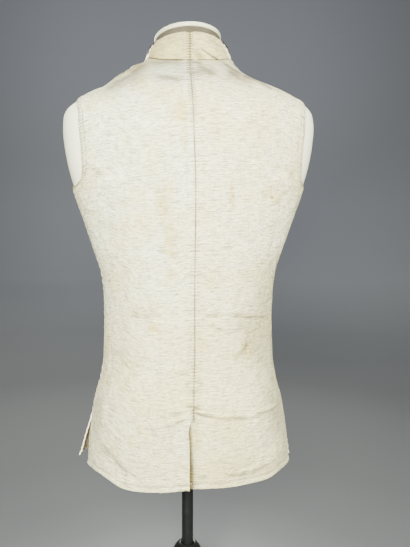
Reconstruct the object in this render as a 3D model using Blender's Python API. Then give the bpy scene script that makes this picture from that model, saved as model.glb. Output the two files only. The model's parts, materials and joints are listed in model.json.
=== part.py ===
"""A waistcoat of about 1785, buttoned on a limbless dress form on a low turned stand.

The wearer's left is +X, the front faces -Y and the origin is on the floor under the pole. Every size
below is in millimetres; MM turns it into Blender's metres. The torso is read from one table of level
sections, and each cut of cloth is a flat grid, thickened, whose points are hung outside that torso.
"""

import math
from collections import namedtuple

import bmesh
import bpy
from mathutils import Matrix, Vector

MM = 0.001

# ---- Driving dimensions -------------------------------------------------------------------------

SEAM_GAP = 0.3
LINEN_WALL = 1.6
SILK_WALL = 1.8

# Heights above the floor.
HEM_FRONT = 292
HEM_FRONT_SIDE = 300
FORM_FOOT = 330
ARM_PLATE_TOP = 890
SLIT_TOP = 378
VENT_TOP = 408
UNDERARM = 766
SHOULDER_TIP = 925
FRONT_TIP = 882
NECK_POINT = 997
NAPE = 967
PIT_OF_NECK = 930
COLLAR_TOP = 1022
CAP_FOOT = 1034
CAP_TOP = 1041
HEM_ROW_HEIGHT = 280

# Where the seams run round the body. Above SIDE_SEAM_END the armhole no longer follows the side seam,
# and the shoulder seam swings backwards from the tip until SHOULDER_SEAM_SETTLED.
SIDE_SEAM_BACKWARD = 8
SIDE_SEAM_END = 790
SHOULDER_TIP_ANGLE = 5
SHOULDER_SEAM_ANGLE = 19
SHOULDER_SEAM_SETTLED = 958

# The laps, where one layer lies on the other. Past each underlap the upper layer is level at first,
# then falls back over LAP_FALL to where it lies without one.
LAP_LIFT = 3.1
LAP_LEVEL = 20
LAP_FALL = 28
FRONT_LAP = 12
VENT_UNDERLAP = 24
VENT_LEVEL = 10
VENT_FALL = 30
VENT_LIFT_FADE = 28
VENT_EDGE_SHIFT = 9.5
VENT_EDGE_FALL = 34
CUTAWAY_TOP = 505
CUTAWAY_SPREAD = 88
SLIT_SWING_LEFT = 15
SLIT_SWING_RIGHT = 3
SLIT_SWING_REACH = 75
SLIT_SWING_POWER = 1.2

# The neckline's two curves and the collar, which is lower at the throat than at the nape.
NAPE_POWER = 2.4
THROAT_POWER = 1.5
COLLAR_RADIUS = 62
COLLAR_FRONT_SHARE = 0.56
COLLAR_FRONT_POWER = 1.4
COLLAR_TURN = 0.4
COLLAR_BULGE = 2.5

BUTTON_COUNT = 10
BUTTON_TOP = 915
BUTTON_PITCH = 43.5
BUTTON_RADIUS = 7.5
BUTTON_HEIGHT = 4
BUTTON_PROFILE = [(0, 1), (0.45, 0.93), (0.8, 0.68), (1.0, 0.25), (0.95, 0), (0, 0)]

CAP_RADIUS = 59
CAP_ROUND = 2.2
POLE_RADIUS = 10
FLANGE_RADIUS = 42
FLANGE_HEIGHT = 9
FLANGE_CHAMFER = 3
HUB_RADIUS = 27
HUB_CENTRE = 118
SOCKET_DEPTH = 45
SOCKET_FLARE = 4

# The turned base, from the middle of its underside out and up to the foot of the hub.
Turning = namedtuple("Turning", "radius height")
BASE_TURNING = [
    Turning(0, 0),
    Turning(153, 0),
    Turning(155, 2),
    Turning(155, 7),
    Turning(152, 10),
    Turning(110, 15),
    Turning(70, 24),
    Turning(44, 38),
    Turning(30, 60),
    Turning(24.5, 84),
    Turning(HUB_RADIUS - 1, 104),
]

# The torso, from the hips up to the neck. Below FORM_FOOT only the skirts follow it.
Section = namedtuple("Section", "height half_width front back squareness")
SECTIONS = [
    Section(262, 168, 100, 98, 2.3),
    Section(300, 167, 101, 99, 2.3),
    Section(340, 164.5, 102, 102, 2.3),
    Section(378, 161, 102, 104, 2.3),
    Section(408, 156, 101, 104, 2.3),
    Section(440, 148, 98, 100, 2.3),
    Section(480, 142.5, 94, 93, 2.3),
    Section(540, 141.5, 92, 88, 2.3),
    Section(590, 143.5, 94, 89, 2.3),
    Section(626, 149, 98, 93, 2.3),
    Section(655, 159, 102, 98, 2.3),
    Section(712, 179.5, 109, 107, 2.3),
    Section(769, 200, 114, 113, 2.35),
    Section(805, 210.5, 115, 116, 2.4),
    Section(840, 217, 113, 117, 2.4),
    Section(870, 220, 109, 115, 2.4),
    Section(890, 219.5, 103, 111, 2.3),
    Section(902, 216, 98, 107, 2.15),
    Section(911, 207.5, 94, 103.5, 2.05),
    Section(918, 197, 90, 100.5, 2.0),
    Section(925, 185, 87, 97.5, 2.0),
    Section(932, 168.5, 84, 94, 2.0),
    Section(946, 132, 78, 86, 2.0),
    Section(960, 105.5, 72, 77, 2.0),
    Section(973, 90.5, 67, 69, 2.0),
    Section(985, 80.5, 63.5, 64, 2.0),
    Section(997, 73, 61, 60.5, 2.0),
    Section(1006, 65, 58.5, 58.5, 2.0),
    Section(1014, 59, 57, 57, 2.0),
    Section(1022, 57, 57, 57, 2.0),
    Section(1034, 57, 57, 57, 2.0),
]

# How far the cloth's inner face hangs off the torso: it rests on the shoulders alone.
Ease = namedtuple("Ease", "height gap")
EASE = [
    Ease(262, 8.0),
    Ease(330, 7.0),
    Ease(378, 6.0),
    Ease(450, 4.6),
    Ease(540, 4.4),
    Ease(620, 3.8),
    Ease(700, 2.6),
    Ease(769, 1.8),
    Ease(850, 1.2),
    Ease(905, 1.4),
    Ease(925, 1.4),
    Ease(950, 1.0),
    Ease(1022, 0.8),
]

# The armhole's edge on the wearer's left: how far round the body it lies, in degrees from the side,
# on the back (towards +90) and on the front (towards -90).
Armhole = namedtuple("Armhole", "height back front")
ARMHOLE = [
    Armhole(UNDERARM, 0, 0),
    Armhole(769, 17, -14),
    Armhole(776, 27, -26),
    Armhole(790, 33, -36),
    Armhole(812, 35.5, -43),
    Armhole(838, 36.5, -46),
    Armhole(864, 36.5, -45),
    Armhole(880, 36, -40),
    Armhole(890, 34, -36),
    Armhole(897, 32, -33),
    Armhole(903, 30, -30),
    Armhole(908, 27.5, -27.5),
    Armhole(912, 25, -25),
    Armhole(915.5, 22.5, -22),
    Armhole(919, 19, -18),
    Armhole(922, 13.5, -12),
    Armhole(SHOULDER_TIP, SHOULDER_TIP_ANGLE, SHOULDER_TIP_ANGLE),
]

# The back's hem, round the body from the left side slit through the vent to the right side slit.
Hem = namedtuple("Hem", "angle height")
HEM_BACK = [
    Hem(0, 286),
    Hem(18, 292),
    Hem(32, 291),
    Hem(41, 286.5),
    Hem(49, 279.5),
    Hem(55, 276),
    Hem(62, 275),
    Hem(75, 276.5),
    Hem(90, 283),
    Hem(105, 283.5),
    Hem(122, 286.5),
    Hem(133, 288.5),
    Hem(152, 297.5),
    Hem(163, 298),
    Hem(180, 292),
]

# The cutaway of the fronts below the last button: the edge's distance from the centre front.
Cutaway = namedtuple("Cutaway", "height spread")
CUTAWAY = [
    Cutaway(262, CUTAWAY_SPREAD),
    Cutaway(330, 0.74 * CUTAWAY_SPREAD),
    Cutaway(400, 0.40 * CUTAWAY_SPREAD),
    Cutaway(460, 0.08 * CUTAWAY_SPREAD),
    Cutaway(CUTAWAY_TOP, -FRONT_LAP),
    Cutaway(NECK_POINT, -FRONT_LAP),
]

# The centre back seam wanders: to the wearer's left at the neck, to the right below the shoulders.
SeamLine = namedtuple("SeamLine", "height across")
CENTRE_BACK = [
    SeamLine(262, -1),
    SeamLine(340, -1),
    SeamLine(408, 1.8),
    SeamLine(440, 0.8),
    SeamLine(482, -1.1),
    SeamLine(520, -1.6),
    SeamLine(640, -1.5),
    SeamLine(760, -0.5),
    SeamLine(860, 3),
    SeamLine(940, 4.5),
    SeamLine(1022, 2),
]

# The largest folds, each a ridge or (with a negative rise) a trough from one place to another:
# degrees round the body from the wearer's left, through the back at 90, and heights. A degree is
# FOLD_DEGREE millimetres of cloth.
Fold = namedtuple("Fold", "angle_a height_a angle_b height_b rise reach")
FOLD_DEGREE = 2.6
FOLDS = [
    Fold(91, 405, 116, 390, 3.0, 11),
    Fold(110, 391, 154, 403, 3.0, 11),
    Fold(88, 411, 74, 395, 2.0, 9),
    Fold(87, 392, 65, 375, 2.0, 10),
    Fold(33, 338, 64, 290, -3.5, 16),
    Fold(118, 312, 158, 330, 2.5, 13),
    Fold(44, 553, 74, 548, -2.0, 12),
    Fold(93, 552, 132, 552, -2.5, 12),
    Fold(96, 527, 124, 524, 2.0, 12),
    Fold(126, 528, 114, 485, 1.8, 12),
    Fold(34, 485, 87, 463, 1.8, 13),
    Fold(19, 934, 19, 986, 10.0, 30),
    Fold(-62, 552, -30, 556, -2.0, 12),
    Fold(242, 548, 210, 555, -2.0, 12),
    Fold(-55, 500, -18, 478, 1.8, 13),
    Fold(235, 505, 198, 484, 1.8, 13),
    Fold(-48, 400, -22, 345, 2.5, 15),
    Fold(230, 395, 204, 345, 2.5, 15),
]

# Rows of each cut, counted from the hem to the neckline, and columns from its edge to the centre.
ROWS_TO_SLIT = 6
ROWS_TO_VENT = 2
ROWS_TO_UNDERARM = 16
BACK_COLUMNS = 11
FRONT_COLUMNS = 13
COLUMN_CROWDING = 1.25
ROW_FANNING = 2.3
COLLAR_ROWS = 3
TORSO_COLUMNS = 44
TORSO_ROWS = 20
ROUND_SIDES = 36
BUTTON_SIDES = 12
EDGE_STEPS = 3
DOME_STEPS = 6


# ---- Reading the tables -------------------------------------------------------------------------

def smooth_read(table, column, key):
    """A column's value at a value of the first one, on a smooth curve that never overshoots."""
    if key <= table[0][0]:
        return getattr(table[0], column)
    if key >= table[-1][0]:
        return getattr(table[-1], column)
    upper = next(i for i, row in enumerate(table) if row[0] > key)
    low, high = table[upper - 1], table[upper]
    span = high[0] - low[0]
    t = (key - low[0]) / span
    slope_start = row_slope(table, column, upper - 1) * span
    slope_end = row_slope(table, column, upper) * span
    return (
        getattr(low, column) * (1 + 2 * t) * (1 - t) ** 2
        + slope_start * t * (1 - t) ** 2
        + getattr(high, column) * t * t * (3 - 2 * t)
        - slope_end * t * t * (1 - t)
    )


def row_slope(table, column, index):
    """The curve's slope at a row: flat at a peak, else between the slopes on its two sides."""
    if index in (0, len(table) - 1):
        return 0.0
    before, here, after = table[index - 1], table[index], table[index + 1]
    down = (getattr(here, column) - getattr(before, column)) / (here[0] - before[0])
    up = (getattr(after, column) - getattr(here, column)) / (after[0] - here[0])
    if down * up <= 0:
        return 0.0
    return 2 * down * up / (down + up)


def ramp(value, start, end):
    """0 before start, 1 past end, and a smooth step between them."""
    t = min(1.0, max(0.0, (value - start) / (end - start)))
    return t * t * (3 - 2 * t)


# ---- The torso's surface ------------------------------------------------------------------------

def section_at(height):
    return [smooth_read(SECTIONS, column, height) for column in Section._fields[1:]]


def torso_at(angle, height):
    """The point of the torso at an angle in degrees (0 the wearer's left, 90 the back)."""
    half_width, front, back, squareness = section_at(height)
    across, along = math.cos(math.radians(angle)), math.sin(math.radians(angle))
    depth = back if along > 0 else front
    return Vector((
        math.copysign(half_width * abs(across) ** (2 / squareness), across),
        math.copysign(depth * abs(along) ** (2 / squareness), along),
        height,
    ))


def torso_normal(angle, height):
    """The direction straight out of the torso's surface at that point."""
    half_width, front, back, squareness = section_at(height)
    here = torso_at(angle, height)
    climb = (torso_at(angle, height + 1) - torso_at(angle, height - 1)) / 2
    depth = back if here.y > 0 else front
    out_x = math.copysign(abs(here.x / half_width) ** (squareness - 1) / half_width, here.x)
    out_y = math.copysign(abs(here.y / depth) ** (squareness - 1) / depth, here.y)
    return Vector((out_x, out_y, -(out_x * climb.x + out_y * climb.y))).normalized()


def angle_across(across, height, behind):
    """The angle at which the torso lies a given distance across from its middle plane."""
    half_width, _, _, squareness = section_at(height)
    share = min(1.0, (abs(across) / half_width) ** (squareness / 2))
    angle = math.degrees(math.acos(math.copysign(share, across)))
    return angle if behind else -angle


def degrees_for(distance, angle, height):
    """How many degrees a short distance round the torso takes up at a point."""
    arc = (torso_at(angle + 0.5, height) - torso_at(angle - 0.5, height)).length
    return distance / arc


# ---- How the cloth hangs ------------------------------------------------------------------------

def fold_rise(angle, height):
    """The sum of the folds' heights at a point: each is a soft ridge that dies at both its ends."""
    total = 0.0
    for fold in FOLDS:
        centre = (fold.angle_a + fold.angle_b) / 2
        turn = (angle - centre + 180) % 360 - 180 + centre
        run = Vector(((fold.angle_b - fold.angle_a) * FOLD_DEGREE, fold.height_b - fold.height_a))
        place = Vector(((turn - fold.angle_a) * FOLD_DEGREE, height - fold.height_a))
        share = place.dot(run) / run.length_squared
        off = (place - run * min(1.0, max(0.0, share))).length
        taper = ramp(share, -0.05, 0.35) * ramp(1 - share, -0.05, 0.35)
        total += fold.rise * taper * math.exp(-((off / fold.reach) ** 2))
    return total


def lap_lift(side, point):
    """The left cuts rise over the right ones at the front lap and at the centre back vent."""
    if side < 0:
        return 0.0
    if point.y < 0:
        level = FRONT_LAP + LAP_LEVEL
        return LAP_LIFT * (1 - ramp(point.x, level, level + LAP_FALL))
    level = VENT_UNDERLAP + VENT_LEVEL
    across = 1 - ramp(point.x, level, level + VENT_FALL)
    return LAP_LIFT * across * (1 - ramp(point.z, VENT_TOP, VENT_TOP + VENT_LIFT_FADE))


def slit_swing(side, point):
    """The front skirts' back edges stand out below the side slits, the left one much further."""
    reach = SLIT_SWING_LEFT if side > 0 else SLIT_SWING_RIGHT
    below = max(0.0, SLIT_TOP - point.z) / (SLIT_TOP - HEM_FRONT_SIDE)
    near = 1 - ramp(SIDE_SEAM_BACKWARD - point.y, 0, SLIT_SWING_REACH)
    return reach * below ** SLIT_SWING_POWER * near


def cloth_at(side, behind, angle, height, out):
    """A point of a cut: out millimetres from its inner face, on the side of the wearer's arm."""
    point = torso_at(angle, height)
    gap = smooth_read(EASE, "gap", height) + fold_rise(angle, height) + lap_lift(side, point)
    if not behind:
        gap += slit_swing(side, point)
    return point + torso_normal(angle, height) * (gap + out)


def neckline_height(angle):
    """The neckline climbs from the nape to the neck point and falls to the pit of the neck."""
    sideways = abs(math.cos(math.radians(angle)))
    if math.sin(math.radians(angle)) > 0:
        return NAPE + (NECK_POINT - NAPE) * sideways ** NAPE_POWER
    return PIT_OF_NECK + (NECK_POINT - PIT_OF_NECK) * sideways ** THROAT_POWER


def hem_height(behind, angle):
    if behind:
        return smooth_read(HEM_BACK, "height", angle)
    sideways = math.cos(math.radians(angle)) ** 4
    return HEM_FRONT + (HEM_FRONT_SIDE - HEM_FRONT) * sideways


# ---- The cuts -----------------------------------------------------------------------------------

def spread(start, end, count):
    return [start + (end - start) * i / count for i in range(count)]


ROW_HEIGHTS = (
    spread(HEM_ROW_HEIGHT, SLIT_TOP, ROWS_TO_SLIT)
    + spread(SLIT_TOP, VENT_TOP, ROWS_TO_VENT)
    + spread(VENT_TOP, UNDERARM, ROWS_TO_UNDERARM)
    + [row.height for row in ARMHOLE]
    + [row.height for row in SECTIONS if SHOULDER_TIP < row.height <= NECK_POINT]
)
ROWS = len(ROW_HEIGHTS) - 1
UNDERARM_ROW = ROW_HEIGHTS.index(UNDERARM)
TIP_ROW = ROW_HEIGHTS.index(SHOULDER_TIP)


def edge_angle(side, behind, height):
    """Where a cut's outer edge lies: side seam, then armhole, then shoulder seam."""
    if height <= UNDERARM:
        angle = seam_side_angle(height)
    elif height < SHOULDER_TIP:
        row = next(row for row in ARMHOLE if row.height >= height)
        angle = row.back if behind else row.front
        angle += seam_side_angle(height) * (1 - ramp(height, UNDERARM, SIDE_SEAM_END))
    else:
        settled = ramp(height, SHOULDER_TIP, SHOULDER_SEAM_SETTLED)
        angle = SHOULDER_TIP_ANGLE + (SHOULDER_SEAM_ANGLE - SHOULDER_TIP_ANGLE) * settled
    half_gap = degrees_for(SEAM_GAP / 2, angle, height)
    angle += half_gap if behind else -half_gap
    return angle if side > 0 else 180 - angle


def seam_side_angle(height):
    """The angle of the side seam, which lies a little behind the body's widest line."""
    _, _, back, squareness = section_at(height)
    return math.degrees(math.asin((SIDE_SEAM_BACKWARD / back) ** (squareness / 2)))


def centre_across(side, behind, height):
    """How far from the middle plane a cut's centre edge lies, to the wearer's left."""
    if not behind:
        return side * smooth_read(CUTAWAY, "spread", height)
    seam = smooth_read(CENTRE_BACK, "across", height)
    if side > 0:
        below = 1 - ramp(height, VENT_TOP - VENT_EDGE_FALL, VENT_TOP)
        return seam + SEAM_GAP / 2 + VENT_EDGE_SHIFT * below
    return seam + VENT_UNDERLAP if height < VENT_TOP - 1 else seam - SEAM_GAP / 2


def past_tip(side, angle, centre_line):
    """How far an angle lies past the shoulder tip, from 0 there to 1 at the centre line.

    Every row falls evenly with this share, so no two rows cross.
    """
    tip = SHOULDER_TIP_ANGLE if side > 0 else 180 - SHOULDER_TIP_ANGLE
    share = min(1.0, max(0.0, (angle - tip) / (centre_line - tip)))
    return share ** ROW_FANNING


def place_on_torso(side, behind, across, row):
    """The angle and height of a point of a cut: across runs from its outer edge to the centre."""
    edge_height = ROW_HEIGHTS[row]
    edge = edge_angle(side, behind, edge_height)
    across = across if behind else across ** COLUMN_CROWDING
    centre_line = 90 if behind else (-90 if side > 0 else 270)
    rough_angle = edge + (centre_line - edge) * across
    height = edge_height
    if row < ROWS_TO_SLIT:
        share = (SLIT_TOP - edge_height) / (SLIT_TOP - HEM_ROW_HEIGHT)
        height = SLIT_TOP + (hem_height(behind, rough_angle) - SLIT_TOP) * share
    if row > UNDERARM_ROW:
        share = min(1.0, (row - UNDERARM_ROW) / (TIP_ROW - UNDERARM_ROW))
        centre = UNDERARM + share * ((SHOULDER_TIP if behind else FRONT_TIP) - UNDERARM)
        height = min(edge_height, SHOULDER_TIP)
        start = past_tip(side, edge, centre_line)
        fall = (past_tip(side, rough_angle, centre_line) - start) / (1 - start)
        height += (centre - height) * fall
    if row > TIP_ROW:
        share = (edge_height - SHOULDER_TIP) / (NECK_POINT - SHOULDER_TIP)
        height += (neckline_height(rough_angle) - height) * share
    middle = angle_across(centre_across(side, behind, height), height, behind)
    if side < 0 and not behind:
        middle += 360
    return edge + (middle - edge) * across, height


def hang(side, behind, across, up, out):
    """Hangs one point of a cut: up runs from the hem to the neckline, out through the wall."""
    angle, height = place_on_torso(side, behind, across, round(up * ROWS))
    return cloth_at(side, behind, angle, height, out)


def stand_collar(side, behind, across, up, out):
    """A point of the stand collar, which leans in from the neckline's columns to a level ring."""
    angle, foot_height = place_on_torso(side, behind, across, ROWS)
    foot = cloth_at(side, behind, angle, foot_height, 0)
    round_neck = Vector((math.cos(math.radians(angle)), math.sin(math.radians(angle)), 0))
    ring = round_neck * (COLLAR_RADIUS - SILK_WALL) + Vector((0, 0, COLLAR_TOP))
    share = 1 - (1 - COLLAR_FRONT_SHARE) * max(0.0, -round_neck.y) ** COLLAR_FRONT_POWER
    rise = (ring - foot) * share
    lift = rise.normalized() * SEAM_GAP
    tangent = Vector((-round_neck.y, round_neck.x, 0))
    outward = torso_normal(angle, foot_height)
    upright = tangent.cross(rise).normalized()
    outward = outward.lerp(upright, ramp(up, 0, COLLAR_TURN)).normalized()
    bulge = COLLAR_BULGE * math.sin(math.pi * up)
    return foot + lift + (rise - lift) * up + outward * (out + bulge)


# ---- Building meshes ----------------------------------------------------------------------------

def finish(name, bm, material, smooth_angle=40):
    """Turns a bmesh into a named object with its own material, shaded smooth but for its edges."""
    bmesh.ops.recalc_face_normals(bm, faces=bm.faces[:])
    if bm.calc_volume(signed=True) < 0:
        bmesh.ops.reverse_faces(bm, faces=bm.faces[:])
    mesh = bpy.data.meshes.new(name)
    bm.to_mesh(mesh)
    bm.free()
    mesh.materials.append(material)
    mesh.shade_smooth()
    mesh.set_sharp_from_angle(angle=math.radians(smooth_angle))
    thing = bpy.data.objects.new(name, mesh)
    bpy.context.scene.collection.objects.link(thing)
    return thing


def finish_material(name, colour, roughness, metallic=0.0):
    material = bpy.data.materials.new(name)
    material.use_nodes = True
    shader = material.node_tree.nodes["Principled BSDF"]
    shader.inputs["Base Color"].default_value = (*colour, 1.0)
    shader.inputs["Roughness"].default_value = roughness
    shader.inputs["Metallic"].default_value = metallic
    return material


def cut_cloth(name, columns, rows, wall, place, material):
    """Cuts a flat grid, gives it two faces a wall apart and hangs every point with place."""
    bm = bmesh.new()
    bmesh.ops.create_grid(bm, x_segments=columns, y_segments=rows, size=1)
    made = bmesh.ops.extrude_face_region(bm, geom=bm.faces[:])
    outer = [item for item in made["geom"] if isinstance(item, bmesh.types.BMVert)]
    bmesh.ops.translate(bm, verts=outer, vec=(0, 0, wall))
    for vert in bm.verts:
        across, up, out = (vert.co.x + 1) / 2, (vert.co.y + 1) / 2, vert.co.z
        vert.co = place(across, up, out) * MM
    return finish(name, bm, material)


def turned(name, profile, sides, material, smooth_angle=40):
    """Turns a profile of (radius, height) points, both of whose ends lie on the axis."""
    bm = bmesh.new()
    verts = [bm.verts.new(Vector((radius, 0, height)) * MM) for radius, height in profile]
    edges = [bm.edges.new(pair) for pair in zip(verts, verts[1:])]
    bmesh.ops.spin(
        bm, geom=verts + edges, cent=(0, 0, 0), axis=(0, 0, 1), angle=2 * math.pi,
        steps=sides, use_merge=True,
    )
    bmesh.ops.remove_doubles(bm, verts=bm.verts[:], dist=1e-6)
    return finish(name, bm, material, smooth_angle)


def arc(radius, height, size, start, end, steps):
    """Points of a round stretch of a profile, between two angles in degrees."""
    turns = [math.radians(start + (end - start) * i / steps) for i in range(steps + 1)]
    return [(radius + size * math.cos(turn), height + size * math.sin(turn)) for turn in turns]


# ---- The waistcoat ------------------------------------------------------------------------------

def make_body_cuts(linen, silk):
    for label, side in (("left", 1), ("right", -1)):
        cut_cloth(
            f"back_{label}", BACK_COLUMNS, ROWS, LINEN_WALL,
            lambda across, up, out, side=side: hang(side, True, across, up, out), linen,
        )
        cut_cloth(
            f"front_{label}", FRONT_COLUMNS, ROWS, SILK_WALL,
            lambda across, up, out, side=side: hang(side, False, across, up, out), silk,
        )


def make_collar(linen, silk):
    """Linen behind and silk in front, joined over the shoulder seams and open at the throat."""
    throat = 1 - 1 / FRONT_COLUMNS
    for label, side in (("left", 1), ("right", -1)):
        cut_cloth(
            f"collar_back_{label}", BACK_COLUMNS, COLLAR_ROWS, LINEN_WALL,
            lambda across, up, out, side=side: stand_collar(side, True, across, up, out), linen,
        )
        cut_cloth(
            f"collar_front_{label}", FRONT_COLUMNS - 1, COLLAR_ROWS, SILK_WALL,
            lambda across, up, out, side=side: stand_collar(side, False, across * throat, up, out),
            silk,
        )


def make_buttons(material):
    """A row of domed buttons down the centre front, each flat against the left front."""
    for index in range(BUTTON_COUNT):
        height = BUTTON_TOP - index * BUTTON_PITCH
        seat = cloth_at(1, False, -90, height, SILK_WALL + SEAM_GAP)
        out = torso_normal(-90, height)
        profile = [(BUTTON_RADIUS * wide, BUTTON_HEIGHT * high) for wide, high in BUTTON_PROFILE]
        button = turned(f"button_{index + 1:02d}", profile, BUTTON_SIDES, material)
        turn = Vector((0, 0, 1)).rotation_difference(out).to_matrix().to_4x4()
        button.matrix_world = Matrix.Translation(seat * MM) @ turn


# ---- The dress form and its stand ---------------------------------------------------------------

def make_dress_form(material):
    """The torso itself: a rolled grid, closed flat at the hips and at the top of the neck."""
    heights = spread(FORM_FOOT, ARM_PLATE_TOP, TORSO_ROWS)
    heights += [row.height for row in SECTIONS if ARM_PLATE_TOP <= row.height < COLLAR_TOP]
    heights.append(CAP_FOOT - SEAM_GAP)
    bm = bmesh.new()
    bmesh.ops.create_grid(bm, x_segments=TORSO_COLUMNS, y_segments=len(heights) - 1, size=1)
    for vert in bm.verts:
        turn, up = (vert.co.x + 1) * 180, (vert.co.y + 1) / 2
        vert.co = torso_at(turn, heights[round(up * (len(heights) - 1))]) * MM
    bmesh.ops.remove_doubles(bm, verts=bm.verts[:], dist=1e-6)
    bmesh.ops.holes_fill(bm, edges=bm.edges[:], sides=0)
    return finish("dress_form", bm, material)


def make_stand(white, black, grey):
    cap = [(0, CAP_FOOT)]
    cap += arc(CAP_RADIUS - CAP_ROUND, CAP_FOOT + CAP_ROUND, CAP_ROUND, -90, 0, EDGE_STEPS)
    cap += arc(CAP_RADIUS - CAP_ROUND, CAP_TOP - CAP_ROUND, CAP_ROUND, 0, 90, EDGE_STEPS)
    turned("neck_cap", cap + [(0, CAP_TOP)], ROUND_SIDES, white)

    flange_top = FORM_FOOT - SEAM_GAP
    flange_foot = flange_top - FLANGE_HEIGHT
    flange = [
        (0, flange_foot),
        (FLANGE_RADIUS - FLANGE_CHAMFER, flange_foot),
        (FLANGE_RADIUS, flange_foot + FLANGE_CHAMFER),
        (FLANGE_RADIUS, flange_top),
        (0, flange_top),
    ]
    turned("pole_flange", flange, ROUND_SIDES, black)

    socket_lip = POLE_RADIUS + SOCKET_FLARE
    socket_top = HUB_CENTRE + math.sqrt(HUB_RADIUS ** 2 - socket_lip ** 2)
    socket_foot = HUB_CENTRE + HUB_RADIUS - SOCKET_DEPTH
    pole_foot, pole_top = socket_foot + SEAM_GAP, flange_foot - SEAM_GAP
    pole = [(0, pole_foot), (POLE_RADIUS, pole_foot), (POLE_RADIUS, pole_top), (0, pole_top)]
    turned("pole", pole, ROUND_SIDES, grey)

    lip_angle = math.degrees(math.acos(socket_lip / HUB_RADIUS))
    bore = POLE_RADIUS + SEAM_GAP
    dome = arc(0, HUB_CENTRE, HUB_RADIUS, 0, lip_angle, DOME_STEPS)
    socket = [(bore, socket_top - SOCKET_FLARE), (bore, socket_foot), (0, socket_foot)]
    turned("base", [tuple(row) for row in BASE_TURNING] + dome + socket, ROUND_SIDES, black)


def main():
    for thing in list(bpy.data.objects):
        bpy.data.objects.remove(thing)
    linen = finish_material("linen", (0.80, 0.77, 0.66), 0.85)
    silk = finish_material("ivory_silk", (0.78, 0.72, 0.58), 0.45)
    thread = finish_material("button_thread", (0.30, 0.22, 0.14), 0.5)
    white = finish_material("white_form", (0.75, 0.74, 0.68), 0.6)
    black = finish_material("black_enamel", (0.01, 0.01, 0.01), 0.3)
    grey = finish_material("grey_steel", (0.05, 0.05, 0.05), 0.35, 0.8)
    make_body_cuts(linen, silk)
    make_collar(linen, silk)
    make_buttons(thread)
    make_dress_form(white)
    make_stand(white, black, grey)


main()
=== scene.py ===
# %% [markdown]
# # A waistcoat of about 1785, seen on its dress form
#
# The object is a man's sleeveless waistcoat with a plain linen back and embroidered silk fronts, buttoned
# on a limbless dress form. This file gives every part of it its finish, and hangs the cloth again as fine
# sheets with their creases, seams and stitches. It starts from a packed model of the plain solids, which
# fixes where everything is. Sizes are in millimetres and MM turns them into Blender's metres.
# +X is the wearer's left, -Y is the wearer's front and +Z is up.

# %% Load the solids
import json
import math
from collections import namedtuple

import bmesh
import bpy
import numpy as np
from mathutils import Matrix, Vector, noise
from mathutils.bvhtree import BVHTree

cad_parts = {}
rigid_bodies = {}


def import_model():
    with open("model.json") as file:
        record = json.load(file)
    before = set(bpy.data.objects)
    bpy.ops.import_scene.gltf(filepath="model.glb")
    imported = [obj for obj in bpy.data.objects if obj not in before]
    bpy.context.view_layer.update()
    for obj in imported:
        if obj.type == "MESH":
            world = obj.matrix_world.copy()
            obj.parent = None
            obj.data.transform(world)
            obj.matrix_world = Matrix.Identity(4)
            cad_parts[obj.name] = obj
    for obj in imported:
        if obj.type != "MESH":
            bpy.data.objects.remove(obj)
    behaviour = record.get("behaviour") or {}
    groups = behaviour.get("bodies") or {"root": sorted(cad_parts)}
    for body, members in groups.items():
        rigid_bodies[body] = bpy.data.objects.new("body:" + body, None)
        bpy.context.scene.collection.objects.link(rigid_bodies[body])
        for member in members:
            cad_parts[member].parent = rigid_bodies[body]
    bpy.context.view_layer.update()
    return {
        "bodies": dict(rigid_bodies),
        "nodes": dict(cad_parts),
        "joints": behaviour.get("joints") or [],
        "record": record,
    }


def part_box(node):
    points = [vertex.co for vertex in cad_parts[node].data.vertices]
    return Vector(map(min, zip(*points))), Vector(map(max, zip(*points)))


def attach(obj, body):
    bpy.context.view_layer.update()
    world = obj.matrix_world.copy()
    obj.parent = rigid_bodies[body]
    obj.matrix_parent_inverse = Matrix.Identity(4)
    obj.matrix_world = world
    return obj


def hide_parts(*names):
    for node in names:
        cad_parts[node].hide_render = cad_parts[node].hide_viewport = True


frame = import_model()
MM = 0.001


def table_of(kind, *values):
    """A table: one named row for each tuple of values."""
    return [kind(*row) for row in values]


# %% [markdown]
# ## The camera
#
# A level camera behind the waistcoat, a little above its waist. A level camera keeps upright edges
# upright, and a small sideways shift of the lens centres the form without turning the camera to it.

# %% Place the camera
CAMERA_PLACE = (0.0896, 0.8569, 0.62)
CAMERA_TURN = 178.5
PICTURE_WIDTH, PICTURE_HEIGHT = 410, 547
FOCAL_LENGTH_PIXELS = 480
LENS_SHIFT_PIXELS = 55
SENSOR = 36


def make_camera():
    lens = bpy.data.cameras.new("camera")
    lens.sensor_width = SENSOR
    lens.lens = SENSOR * FOCAL_LENGTH_PIXELS / max(PICTURE_WIDTH, PICTURE_HEIGHT)
    lens.shift_x = LENS_SHIFT_PIXELS / max(PICTURE_WIDTH, PICTURE_HEIGHT)
    camera = bpy.data.objects.new("camera", lens)
    camera.location = CAMERA_PLACE
    camera.rotation_euler = (math.radians(90), 0, math.radians(CAMERA_TURN))
    bpy.context.scene.collection.objects.link(camera)
    bpy.context.scene.camera = camera
    return lens


print("lens:", round(make_camera().lens, 2), "mm")

# %% [markdown]
# ## Shader maths as plain expressions
#
# A finish is a tree of nodes. Written node by node it is hard to read, so one small class wraps a socket
# and gives it the arithmetic signs: `1 - mask * 0.5` then adds its own Math nodes. Every other node comes
# from one method, add, which takes the node's type, the values or links of its sockets and its settings.

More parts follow.
